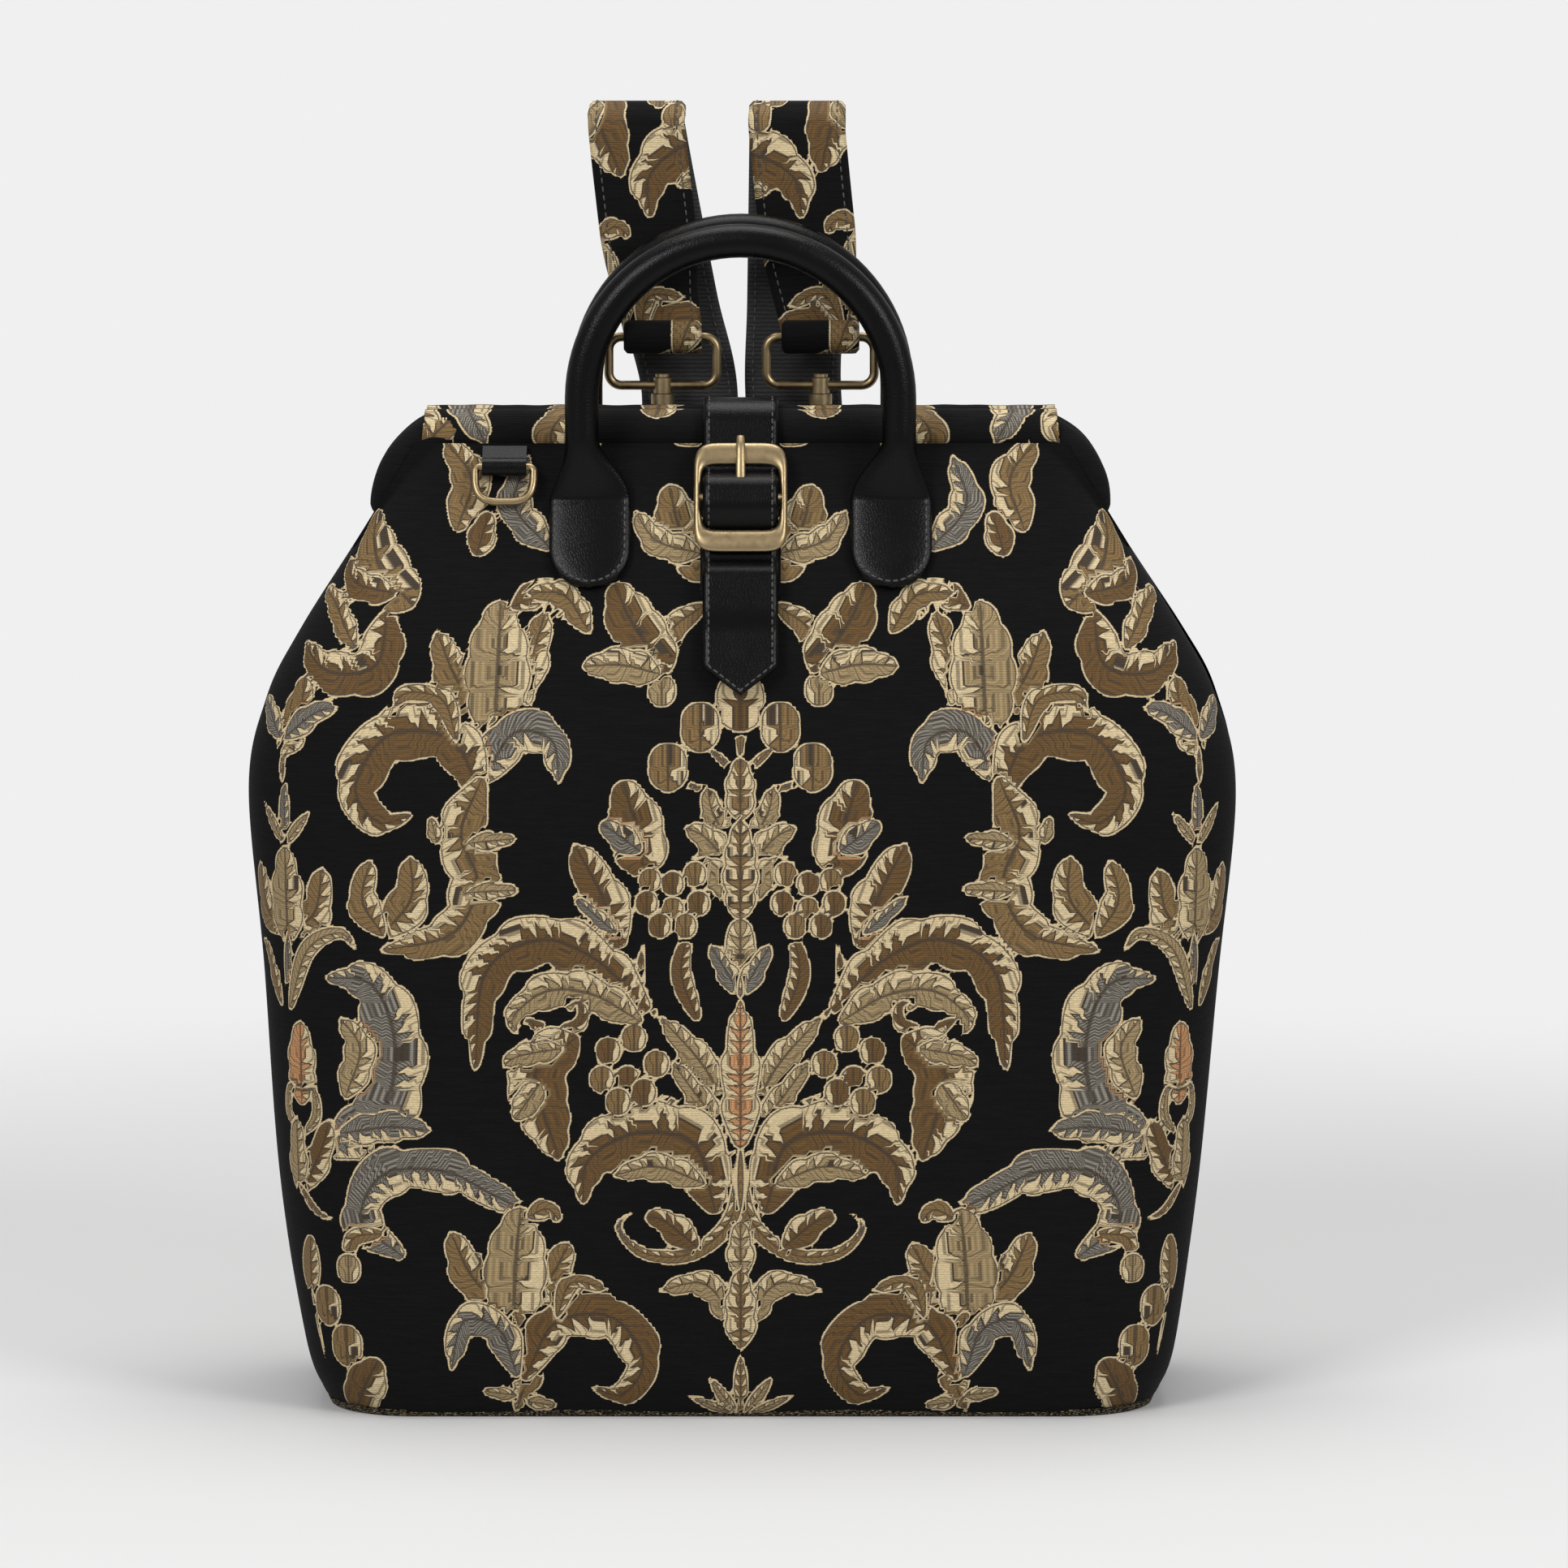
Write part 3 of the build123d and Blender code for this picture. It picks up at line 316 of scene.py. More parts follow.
def motifGroup():
    # Colours the strokes: cream edge, dark line, then the stroke's own colour with cream flames and hatching
    inputs = [("Rows", "NodeSocketFloat", 0.5), ("Speckle", "NodeSocketFloat", 0.5)]
    outputs = [("Colour", "NodeSocketColor"), ("Mask", "NodeSocketFloat"), ("Shine", "NodeSocketFloat")]
    group, entry, leave = newGroup("motifColour", inputs, outputs)
    data = node(group, "ShaderNodeAttribute", attribute_name="motif")
    split = node(group, "ShaderNodeSeparateColor")
    group.links.new(data.outputs["Color"], split.inputs[0])
    depth, hue, along = split.outputs[0], split.outputs[1], split.outputs[2]
    across = data.outputs["Alpha"]
    uneven = maths(group, "MULTIPLY", maths(group, "SUBTRACT", entry.outputs[1], 0.5), 0.7)
    ragged = maths(group, "ADD", depth, uneven)
    mask = stepBand(group, ragged, 0.1, 0.12)
    inside = stepBand(group, ragged, 0.78, 0.12)
    fill = stepBand(group, ragged, 1.25, 0.12)
    ramp = node(group, "ShaderNodeValToRGB")
    ramp.color_ramp.interpolation = "CONSTANT"
    tones = [(0.0, (0.33, 0.24, 0.12, 1)), (0.13, (0.21, 0.13, 0.05, 1)), (0.38, (0.13, 0.07, 0.022, 1)),
             (0.63, (0.50, 0.25, 0.11, 1)), (0.88, (0.22, 0.20, 0.165, 1))]
    ramp.color_ramp.elements[0].position, ramp.color_ramp.elements[0].color = tones[0]
    ramp.color_ramp.elements[1].position, ramp.color_ramp.elements[1].color = tones[1]
    for position, tone in tones[2:]:
        ramp.color_ramp.elements.new(position).color = tone
    group.links.new(hue, ramp.inputs[0])
    reach = maths(group, "ABSOLUTE", across)
    slant = maths(group, "SUBTRACT", along, maths(group, "MULTIPLY", reach, 4.5))
    zigzag = maths(group, "PINGPONG", slant, 2.1)
    side = maths(group, "ADD", across, maths(group, "MULTIPLY", zigzag, 0.3))
    flame = stepBand(group, side, 0.66, 0.05)
    cream = mixColour(group, entry.outputs[1], (0.40, 0.30, 0.16, 1), (0.70, 0.58, 0.36, 1))
    light = mixColour(group, flame, ramp.outputs[0], cream)
    vein = maths(group, "SUBTRACT", 1.0, stepBand(group, reach, 0.07, 0.03))
    flameGap = maths(group, "ABSOLUTE", maths(group, "SUBTRACT", side, 0.66))
    flameEdge = maths(group, "SUBTRACT", 1.0, stepBand(group, flameGap, 0.07, 0.03))
    feather = stepBand(group, maths(group, "PINGPONG", slant, 1.05), 0.8, 0.09)
    lines = maths(group, "MAXIMUM", maths(group, "MULTIPLY", vein, 0.8), flameEdge)
    lines = maths(group, "MAXIMUM", lines, maths(group, "MULTIPLY", feather, 0.6))
    light = mixColour(group, lines, light, (0.05, 0.036, 0.024, 1))
    weave = maths(group, "PINGPONG", maths(group, "ADD", along, maths(group, "MULTIPLY", across, 6.0)), 0.55)
    hatch = stepBand(group, weave, 0.26, 0.1)
    greyCloth = maths(group, "GREATER_THAN", hue, 0.85)
    strong = maths(group, "ADD", 0.3, maths(group, "MULTIPLY", greyCloth, 0.45))
    plainPart = maths(group, "SUBTRACT", 1.0, flame)
    hatched = maths(group, "MULTIPLY", maths(group, "MULTIPLY", strong, plainPart), hatch)
    light = mixColour(group, hatched, light, (0.03, 0.025, 0.02, 1))
    colour = mixColour(group, inside, (0.55, 0.43, 0.25, 1), (0.075, 0.06, 0.045, 1))
    colour = mixColour(group, fill, colour, light)
    # painted shade from the weave rows, with the yarn speckle, multiplied into the motif colour
    rowShade = maths(group, "MULTIPLY", entry.outputs[0], 0.28)
    speckShade = maths(group, "MULTIPLY", entry.outputs[1], 0.46)
    shade = maths(group, "ADD", 0.55, maths(group, "ADD", rowShade, speckShade))
    paintedWeaveShade = node(group, "ShaderNodeCombineColor")
    for k in range(3):
        group.links.new(shade, paintedWeaveShade.inputs[k])
    colour = mixColour(group, 1.0, colour, paintedWeaveShade.outputs[0], "MULTIPLY")
    group.links.new(colour, leave.inputs[0])
    group.links.new(mask, leave.inputs[1])
    group.links.new(maths(group, "MULTIPLY", mask, 0.5), leave.inputs[2])
    return group


def grainGroup():
    # Leather grain: small cells and fine pores
    outputs = [("Height", "NodeSocketFloat"), ("Worn", "NodeSocketFloat")]
    group, entry, leave = newGroup("leatherGrain", [("Scale", "NodeSocketFloat", 900.0)], outputs)
    place = node(group, "ShaderNodeNewGeometry")
    cells = node(group, "ShaderNodeTexVoronoi", feature="DISTANCE_TO_EDGE")
    group.links.new(place.outputs["Position"], cells.inputs[0])
    group.links.new(entry.outputs[0], cells.inputs["Scale"])
    worn = node(group, "ShaderNodeTexNoise", in_2=60.0, in_3=4.0)
    group.links.new(place.outputs["Position"], worn.inputs[0])
    group.links.new(maths(group, "MINIMUM", cells.outputs[0], 0.25), leave.inputs[0])
    group.links.new(worn.outputs[0], leave.inputs[1])
    return group


weaveRows, leatherGrain = weaveGroup(), grainGroup()
motifColour = motifGroup()


def newMaterial(name, colour, rough, metal=0.0):
    material = bpy.data.materials.new(name)
    material.use_nodes = True
    shader = material.node_tree.nodes["Principled BSDF"]
    shader.inputs["Base Color"].default_value = (*colour, 1)
    shader.inputs["Roughness"].default_value = rough
    shader.inputs["Metallic"].default_value = metal
    return material, material.node_tree, shader


def addBump(tree, shader, height, distance, strength=1.0):
    bump = node(tree, "ShaderNodeBump")
    bump.inputs["Distance"].default_value = distance
    bump.inputs["Strength"].default_value = strength
    tree.links.new(height, bump.inputs["Height"])
    tree.links.new(bump.outputs[0], shader.inputs["Normal"])


def damaskMaterial():
    material, tree, shader = newMaterial("damaskCloth", (0.012, 0.011, 0.012), 0.85)
    rows = node(tree, "ShaderNodeGroup")
    rows.node_tree = weaveRows
    rows.inputs[0].default_value = 1150.0
    motif = node(tree, "ShaderNodeGroup")
    motif.node_tree = motifColour
    tree.links.new(rows.outputs[0], motif.inputs[0])
    tree.links.new(rows.outputs[1], motif.inputs[1])
    pile = node(tree, "ShaderNodeTexNoise", in_2=260.0, in_3=4.0, in_4=0.65)
    stretch = node(tree, "ShaderNodeVectorMath", operation="MULTIPLY")
    stretch.inputs[1].default_value = (0.35, 0.35, 3.0)
    place = node(tree, "ShaderNodeNewGeometry")
    tree.links.new(place.outputs["Position"], stretch.inputs[0])
    tree.links.new(stretch.outputs[0], pile.inputs[0])
    ground = mixColour(tree, pile.outputs[0], (0.0012, 0.0012, 0.0013, 1), (0.0065, 0.0062, 0.0064, 1))
    tree.links.new(mixColour(tree, motif.outputs[1], ground, motif.outputs[0]), shader.inputs["Base Color"])
    rough = maths(tree, "SUBTRACT", 0.95, maths(tree, "MULTIPLY", motif.outputs[2], 0.85))
    tree.links.new(rough, shader.inputs["Roughness"])
    shader.inputs["Specular IOR Level"].default_value = 0.12
    shader.inputs["Sheen Weight"].default_value = 0.02
    shader.inputs["Sheen Roughness"].default_value = 0.4
    raised = maths(tree, "MULTIPLY", motif.outputs[1], 0.7)
    tall = maths(tree, "ADD", maths(tree, "MULTIPLY", rows.outputs[2], 0.35), raised)
    tall = maths(tree, "ADD", tall, maths(tree, "MULTIPLY", pile.outputs[0], 0.6))
    addBump(tree, shader, tall, 0.0006, 0.8)
    return material


def leatherMaterial():
    material, tree, shader = newMaterial("blackLeather", (0.0012, 0.0012, 0.0013), 0.3)
    grain = node(tree, "ShaderNodeGroup")
    grain.node_tree = leatherGrain
    rough = maths(tree, "ADD", 0.2, maths(tree, "MULTIPLY", grain.outputs[1], 0.2))
    tree.links.new(rough, shader.inputs["Roughness"])
    shader.inputs["Specular IOR Level"].default_value = 0.14
    shader.inputs["Coat Weight"].default_value = 0.03
    shader.inputs["Coat Roughness"].default_value = 0.22
    addBump(tree, shader, grain.outputs[0], 0.0003, 0.5)
    return material


def brassMaterial():
    material, tree, shader = newMaterial("antiqueBrass", (0.30, 0.22, 0.12), 0.36, 1.0)
    worn = node(tree, "ShaderNodeTexNoise", in_2=420.0, in_3=5.0)
    cloud = node(tree, "ShaderNodeTexNoise", in_2=90.0, in_3=3.0)
    place = node(tree, "ShaderNodeNewGeometry")
    tree.links.new(place.outputs["Position"], worn.inputs[0])
    tree.links.new(place.outputs["Position"], cloud.inputs[0])
    edge = stepBand(tree, place.outputs["Pointiness"], 0.52, 0.05)
    tone = mixColour(tree, cloud.outputs[0], (0.13, 0.088, 0.045, 1), (0.34, 0.25, 0.135, 1))
    tone = mixColour(tree, maths(tree, "MULTIPLY", edge, 0.6), tone, (0.55, 0.43, 0.25, 1))
    tree.links.new(tone, shader.inputs["Base Color"])
    rough = maths(tree, "ADD", 0.25, maths(tree, "MULTIPLY", worn.outputs[0], 0.28))
    tree.links.new(rough, shader.inputs["Roughness"])
    addBump(tree, shader, worn.outputs[0], 0.0002, 0.25)
    return material


def clothMaterial(name, colour, rowsPerMetre):
    material, tree, shader = newMaterial(name, colour, 0.82)
    rows = node(tree, "ShaderNodeGroup")
    rows.node_tree = weaveRows
    rows.inputs[0].default_value = rowsPerMetre
    # painted shade: the base colour is darkened to 55 % in the grooves between the weave rows
    paintedWeaveShade = mixColour(tree, rows.outputs[0], tuple(c * 0.55 for c in colour) + (1,), colour + (1,))
    tree.links.new(paintedWeaveShade, shader.inputs["Base Color"])
    addBump(tree, shader, rows.outputs[2], 0.0006, 0.8)
    return material


damask, leather, brass = damaskMaterial(), leatherMaterial(), brassMaterial()
webbing = clothMaterial("blackWebbing", (0.02, 0.02, 0.021), 620.0)
lining = clothMaterial("liningCloth", (0.035, 0.032, 0.03), 1400.0)
thread = newMaterial("stitchThread", (0.045, 0.043, 0.04), 0.6)[0]
steel = newMaterial("plainSteel", (0.55, 0.55, 0.56), 0.35, 1.0)[0]
boardMaterial = newMaterial("coveredBoard", (0.05, 0.045, 0.04), 0.9)[0]
print("materials ready")


def setMaterial(obj, material):
    obj.data.materials.clear()
    obj.data.materials.append(material)
    return obj


def outlook(slotName):
    return {"damask": damask, "leather": leather, "brass": brass, "steel": steel, "webbing": webbing,
            "foam": lining, "lining": lining, "board": boardMaterial}[slotName]


for entry in frame["record"]["subparts"]:
    obj = frame["nodes"][entry["node"]]
    obj.data.materials.clear()
    obj.data.materials.append(outlook(entry["material_slot"]))
    obj.data.polygons.foreach_set("use_smooth", [True] * len(obj.data.polygons))


# Body cloth: one half round the front and one round the back, meeting at the middle of the gussets
body = dict(
    heights=(0, 6, 25, 90, 170, 240, 275, 300, 338, 372),
    halfWidths=(159, 163.5, 169.5, 178.5, 185, 191, 184, 171.5, 147, 126.5),
    halfDepths=(61, 65, 68.3, 70, 69, 64.5, 57.6, 51.2, 35.2, 21.1),
    corner=38.0, seam=372.0, gussetTop=331.0, plateFrom=20.4, rows=226, collarRows=32, cols=301,
    liningInset=2.2, clothGives=(0.286, 0.334), liningGives=(0.268, 0.318),  # heights in metres
)


def profile(height, values):
    line = smoothLine(np.stack([body["heights"], values], axis=1), 600)
    return np.interp(height, line[:, 0], line[:, 1])


def bodyPoint(half, share, height, inset=0.0):
    # share runs from -1 at the left gusset's middle to 1 at the right one's; half is -1 at the front
    share, height = np.broadcast_arrays(np.asarray(share, float), np.asarray(height, float))
    wide = profile(height, body["halfWidths"]) - inset
    deep = profile(height, body["halfDepths"]) - inset
    radius = np.minimum(body["corner"], 0.62 * deep)
    flat, arc, side = wide - radius, radius * np.pi / 2, deep - radius
    run = np.abs(share) * (flat + arc + side)
    turn = np.clip((run - flat) / radius, 0, np.pi / 2)
    x = np.where(run < flat, run, flat + radius * np.sin(turn))
    y = np.where(run < flat + arc, deep - radius + radius * np.cos(turn), deep - radius - (run - flat - arc))
    keep = body["plateFrom"] * ease(height, body["gussetTop"] - 3, body["gussetTop"] + 4)
    y = np.maximum(y, keep - inset * 0.3)
    return np.sign(share) * x, half * y, run * np.sign(share)


def softness(x, height, half):
    # Gentle hollows of stuffed cloth, in mm
    wave = 1.1 * np.sin(x / 41 + 0.7 * half) * np.sin(height / 57 + 0.4)
    wave = wave + 0.7 * np.sin(x / 23 - height / 38 + half)
    pull = 0.9 * np.sin(x / 9.5 + np.sin(height / 30) * 1.5) * ease(height, 312, 366) * 0.35
    tuck = -1.4 * np.exp(-((height - 10) / 9) ** 2) * np.sin(x / 17 + half)
    return wave * ease(height, 4, 60) * (1 - ease(height, 285, 340)) + pull + tuck * 0.5


def bodyHalf(half, name):
    share = np.linspace(-1, 1, body["cols"])
    low = np.linspace(0.2, body["gussetTop"] - 1, body["rows"] - body["collarRows"])
    high = np.linspace(body["gussetTop"] + 0.5, body["seam"] + 1.5, body["collarRows"])
    height = np.concatenate([low, high])
    grid, rise = np.meshgrid(share, height)
    x, y, run = bodyPoint(half, grid, rise)
    depth = np.reshape(patternAt(run, rise)[0], x.shape)
    lift = softness(x, rise, half) + 0.35 * ease(depth, -0.4, 1.0)
    frontness = np.clip(np.abs(y) / profile(rise, body["halfDepths"]), 0, 1)
    belly = 2.4 * np.cos(np.clip(x / 175, -1, 1) * np.pi / 2) * np.sin(np.clip(rise / 300, 0, 1) * np.pi)
    belly = belly * half * frontness
    nx, ny = np.sign(x) * (1 - frontness), half * frontness
    x, y = x + nx * lift * 0.8, y + ny * lift + belly * 0.6
    points = np.stack([x, y, rise], axis=-1).reshape(-1, 3)
    obj = addMesh(name, points, gridFaces(*rise.shape, flip=half > 0))
    paintPattern(obj, run, rise)
    return setMaterial(obj, damask)


frontCloth, backCloth = bodyHalf(-1, "frontCloth"), bodyHalf(1, "backCloth")
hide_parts("front_panel")
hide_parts("back_panel", "left_gusset", "right_gusset")


def liningHalf(half, name):
    grid, rise = np.meshgrid(np.linspace(-1, 1, 91), np.linspace(1.0, body["seam"] - 1, 70))
    x, y, _ = bodyPoint(half, grid, rise, body["liningInset"])
    points = np.stack([x, y, rise], axis=-1).reshape(-1, 3)
    obj = addMesh(name, points, gridFaces(*rise.shape, flip=half < 0))
    return setMaterial(obj, lining)


frontLining, backLining = liningHalf(-1, "frontLining"), liningHalf(1, "backLining")
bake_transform(frontCloth)
padSolid = frame["nodes"]["front_padding"]
padMesh = padSolid.data.copy()
padMesh.transform(padSolid.matrix_world)
frontPad = bpy.data.objects.new("frontPad", padMesh)  # copy of the front padding, under the cloth that covers it
bpy.context.collection.objects.link(frontPad)
setMaterial(frontPad, lining)
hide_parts("front_padding")
for piece in (frontLining, frontPad):
    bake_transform(piece)  # kept in world space, under the cloth
for piece in (backCloth, backLining):
    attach(piece, "bag")
print("body cloth ready")


def tubeAlong(name, path, radii, around=20, capEnds=True, up=(0, 1, 0), flatten=None):
    # Round or flattened tube along a path; radii may vary; flatten gives the half thickness across up
    path = np.asarray(path, float)
    tangent = np.gradient(path, axis=0)
    tangent /= np.linalg.norm(tangent, axis=1)[:, None]
    first = np.cross(np.broadcast_to(np.asarray(up, float), path.shape), tangent)
    first /= np.linalg.norm(first, axis=1)[:, None]
    second = np.cross(tangent, first)
    angle = np.linspace(0, 2 * np.pi, around, endpoint=False)
    wide = np.broadcast_to(np.asarray(radii, float), len(path))
    thick = wide if flatten is None else np.broadcast_to(np.asarray(flatten, float), len(path))
    ring = path[:, None] + first[:, None] * (np.cos(angle)[None, :, None] * wide[:, None, None])
    ring = ring + second[:, None] * (np.sin(angle)[None, :, None] * thick[:, None, None])
    points = ring.reshape(-1, 3)
    faces = gridFaces(len(path), around, wrapCols=True)
    if capEnds:
        faces.append(tuple(range(around))[::-1])
        faces.append(tuple(len(points) - around + np.arange(around)))
    return addMesh(name, points, faces), angle


# Mouth rolls
mouth = dict(legX=134.0, top=376.5, bend=27.5, foot=341.0, legTop=345.0, radius=9.5, away=10.0, around=40)
mouth.update(clothLength=317.0, clothShare=0.96, clothHeight=380.0)


def mouthPath(half):
    corner = np.linspace(0, np.pi / 2, 12)
    left = [(-mouth["legX"], mouth["foot"]), (-mouth["legX"], mouth["legTop"])]
    for a in corner:
        x = -mouth["legX"] + mouth["bend"] * (1 - math.cos(a))
        left.append((x, mouth["top"] - mouth["bend"] * (1 - math.sin(a))))
    line = left + [(-x, z) for x, z in left[::-1]]
    even = smoothLine(np.asarray(line), 240)
    return np.stack([even[:, 0], np.full(len(even), half * mouth["away"]), even[:, 1]], axis=1)


def mouthRoll(half, name):
    path = mouthPath(half)
    place = np.linspace(-1, 1, len(path))
    ends = 1 - 0.42 * ease(np.abs(place), 0.955, 1.0)
    radii = mouth["radius"] * ends * (1 + 0.012 * np.sin(place * 31) + 0.01 * np.sin(place * 77))
    obj, angle = tubeAlong(name, path, radii, mouth["around"])
    along = np.repeat(place * mouth["clothLength"] / 2, mouth["around"])
    turn = np.tile(np.where(angle > np.pi, angle - 2 * np.pi, angle), len(path))
    paintPattern(obj, along * mouth["clothShare"], mouth["clothHeight"] + turn * mouth["radius"])
    return setMaterial(obj, damask)


frontRoll, backRoll = mouthRoll(-1, "frontRoll"), mouthRoll(1, "backRoll")
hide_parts("front_frame_roll")
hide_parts("back_frame_roll")
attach(frontRoll, "front_jaw")
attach(backRoll, "bag")

collar = dict(seamOut=20.93, lean=0.418, deg=22.69)


def collarPoint(half, height, lift, x=0.0):
    a = math.radians(collar["deg"])
    out = collar["seamOut"] + (body["seam"] - height) * collar["lean"] + lift * math.cos(a)
    return np.array([x, half * out, height + lift * math.sin(a)])


def stitchRow(name, line, normals, spacing, size):
    # Short rounded stitches laid along a line of points, each a small six-sided bead
    line, normals = np.asarray(line, float), np.asarray(normals, float)
    length = np.concatenate([[0], np.cumsum(np.linalg.norm(np.diff(line, axis=0), axis=1))])
    count = max(2, int(length[-1] / spacing))
    centres = (np.arange(count) + 0.5) * length[-1] / count
    points, faces = [], []
    for c in centres:
        at = np.array([np.interp(c, length, line[:, k]) for k in range(3)])
        ahead = np.array([np.interp(min(c + 0.2, length[-1]), length, line[:, k]) for k in range(3)])
        behind = np.array([np.interp(max(c - 0.2, 0), length, line[:, k]) for k in range(3)])
        t = (ahead - behind) / (np.linalg.norm(ahead - behind) + 1e-9)
        n = np.array([np.interp(c, length, normals[:, k]) for k in range(3)])
        n /= np.linalg.norm(n) + 1e-9
        s = np.cross(n, t)
        start = len(points)
        for share, wide in ((-0.5, 0.35), (-0.28, 1.0), (0.28, 1.0), (0.5, 0.35)):
            for k in range(6):
                a = k * math.pi / 3
                points.append(at + t * share * size[0] + (s * math.cos(a) + n * math.sin(a)) * wide * size[1])
        for i in range(3):
            for k in range(6):
                m = (k + 1) % 6
                here, there = start + i * 6, start + (i + 1) * 6
                faces.append((here + k, here + m, there + m, there + k))
        faces.append(tuple(start + k for k in range(6))[::-1])
        faces.append(tuple(start + 18 + k for k in range(6)))
    return setMaterial(addMesh(name, points, faces), thread)


# Carrying handles: one leather roll each, flattened into the two sewn tabs
handle = dict(span=61.0, top=452.5, radius=6.5, plane=36.0, foot=372.0, neckRise=6.0, riseShare=0.2)
handle.update(tabX=58.0, tabHalf=15.6, tabThick=2.3, tabTop=351.5, tabLow=318.5, tabRound=15.0, tabGap=0.5)
stitch = dict(gap=2.9, inset=2.2, tabSize=(2.2, 0.42), strapSize=(2.2, 0.38))
stitch.update(shoulderGap=3.4, shoulderSize=(2.4, 0.36))


def handleMesh(half, name):
    arch = handle["top"] - handle["span"]
    stations = []  # centre, half width, half thickness
    tabLift = handle["tabGap"] + handle["tabThick"]
    for height in np.linspace(handle["tabLow"], handle["tabTop"], 22):
        drop = height - handle["tabLow"]
        below = max(0.0, handle["tabRound"] - drop) / handle["tabRound"]
        rounded = math.sqrt(max(0.0, 1 - below**2)) * 0.985 + 0.015
        wide = handle["tabHalf"] * (1 if drop > handle["tabRound"] else rounded)
        stations.append((collarPoint(half, height, tabLift, -handle["tabX"]), wide, handle["tabThick"]))
    low = stations[-1][0]
    high = np.array([-handle["span"], half * handle["plane"], handle["foot"] + handle["neckRise"]])
    for t in np.linspace(0.08, 1, 14):
        e = t * t * (3 - 2 * t)
        centre = low + (high - low) * np.array([e, t * 0.5 + e * 0.5, t])
        wide = handle["tabHalf"] + (handle["radius"] - handle["tabHalf"]) * ease(t, -0.05, 0.92)
        thick = handle["tabThick"] + (handle["radius"] - handle["tabThick"]) * ease(t, 0.0, 0.95)
        stations.append((centre, wide, thick))
    for t in np.linspace(0.0, 1, 30)[1:]:
        if t < handle["riseShare"]:
            x, z = -handle["span"], high[2] + (arch - high[2]) * t / handle["riseShare"]
        else:
            b = (t - handle["riseShare"]) / (1 - handle["riseShare"]) * math.pi / 2
            x, z = -handle["span"] * math.cos(b), arch + handle["span"] * math.sin(b)
        centre = np.array([x, half * handle["plane"], z])
        stations.append((centre, handle["radius"], handle["radius"]))
    mirrored = [(c * [-1, 1, 1], w, t) for c, w, t in stations[-2::-1]]
    every = stations + mirrored
    path = np.array([s[0] for s in every])
    obj, _ = tubeAlong(name, path, [s[1] for s in every], 28, flatten=[s[2] for s in every])
    return setMaterial(obj, leather)


def tabStitches(half, side, name):
    line, normal = [], []
    a = math.radians(collar["deg"])
    reach = handle["tabHalf"] - stitch["inset"]
    bend = handle["tabLow"] + handle["tabRound"]
    straight = np.linspace(handle["tabTop"] + 3, bend, 8)
    outline = [(-reach, h) for h in straight]
    for b in np.linspace(0, math.pi, 26):
        outline.append((-reach * math.cos(b), bend - (handle["tabRound"] - stitch["inset"]) * math.sin(b)))
    outline += [(reach, h) for h in straight[::-1]]
    for x, h in outline:
        edge = 1 - min(1.0, abs(x) / handle["tabHalf"]) ** 2
        lift = handle["tabGap"] + handle["tabThick"] * (1 + math.sqrt(max(edge, 0.05)))
        line.append(collarPoint(half, h, lift, side * handle["tabX"] + x))
        normal.append((0, half * math.cos(a), math.sin(a)))
    return stitchRow(name, line, normal, stitch["gap"], stitch["tabSize"])


for half, owner, word in ((-1, "front_jaw", "front"), (1, "bag", "back")):
    piece = handleMesh(half, word + "HandleRoll")
    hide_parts(word + "_handle")
    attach(piece, owner)
    for side in (-1, 1):
        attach(tabStitches(half, side, f"{word}TabStitch{'L' if side < 0 else 'R'}"), owner)
print("handles ready")


# Closing strap in one length, bent at the top of the back roll
strap = dict(half=14.5, thick=2.6, tip=279.0, point=11.0, rollLine=387.6, slack=1.6)


def strapLine():
    turn = strap["rollLine"] - mouth["top"]
    angle = np.radians(np.linspace(90, 168, 9))
    away = mouth["away"]
    back = [(away - turn * math.cos(a), mouth["top"] + turn * math.sin(a)) for a in angle]
    loose = turn + strap["slack"]  # stands off the front roll
    front = [(loose * math.cos(a) - away, mouth["top"] + loose * math.sin(a)) for a in angle]
    rear = [tuple(collarPoint(1, h, 2.1)[1:]) for h in (366, 356, 345, 334, 326)]
    knots = [(371.7, strap["thick"] + strap["slack"]), (364.2, 3.6), (353.6, 12.0), (348.4, 12.0), (337.8, 3.9)]
    knots += [(329, 3.9), (322.5, 7.4), (311.5, 7.4), (300, 4.8), (strap["tip"], 4.8)]  # height and lift
    face = []
    for (h, l), (h2, l2) in zip(knots, knots[1:]):
        for t in np.linspace(0, 1, 5, endpoint=False):
            face.append(tuple(collarPoint(-1, h + (h2 - h) * t, l + (l2 - l) * t * t * (3 - 2 * t))[1:]))
    face.append(tuple(collarPoint(-1, *knots[-1])[1:]))
    return smoothLine(np.array(rear[::-1] + back[::-1] + [(0, strap["rollLine"])] + front + face), 190)


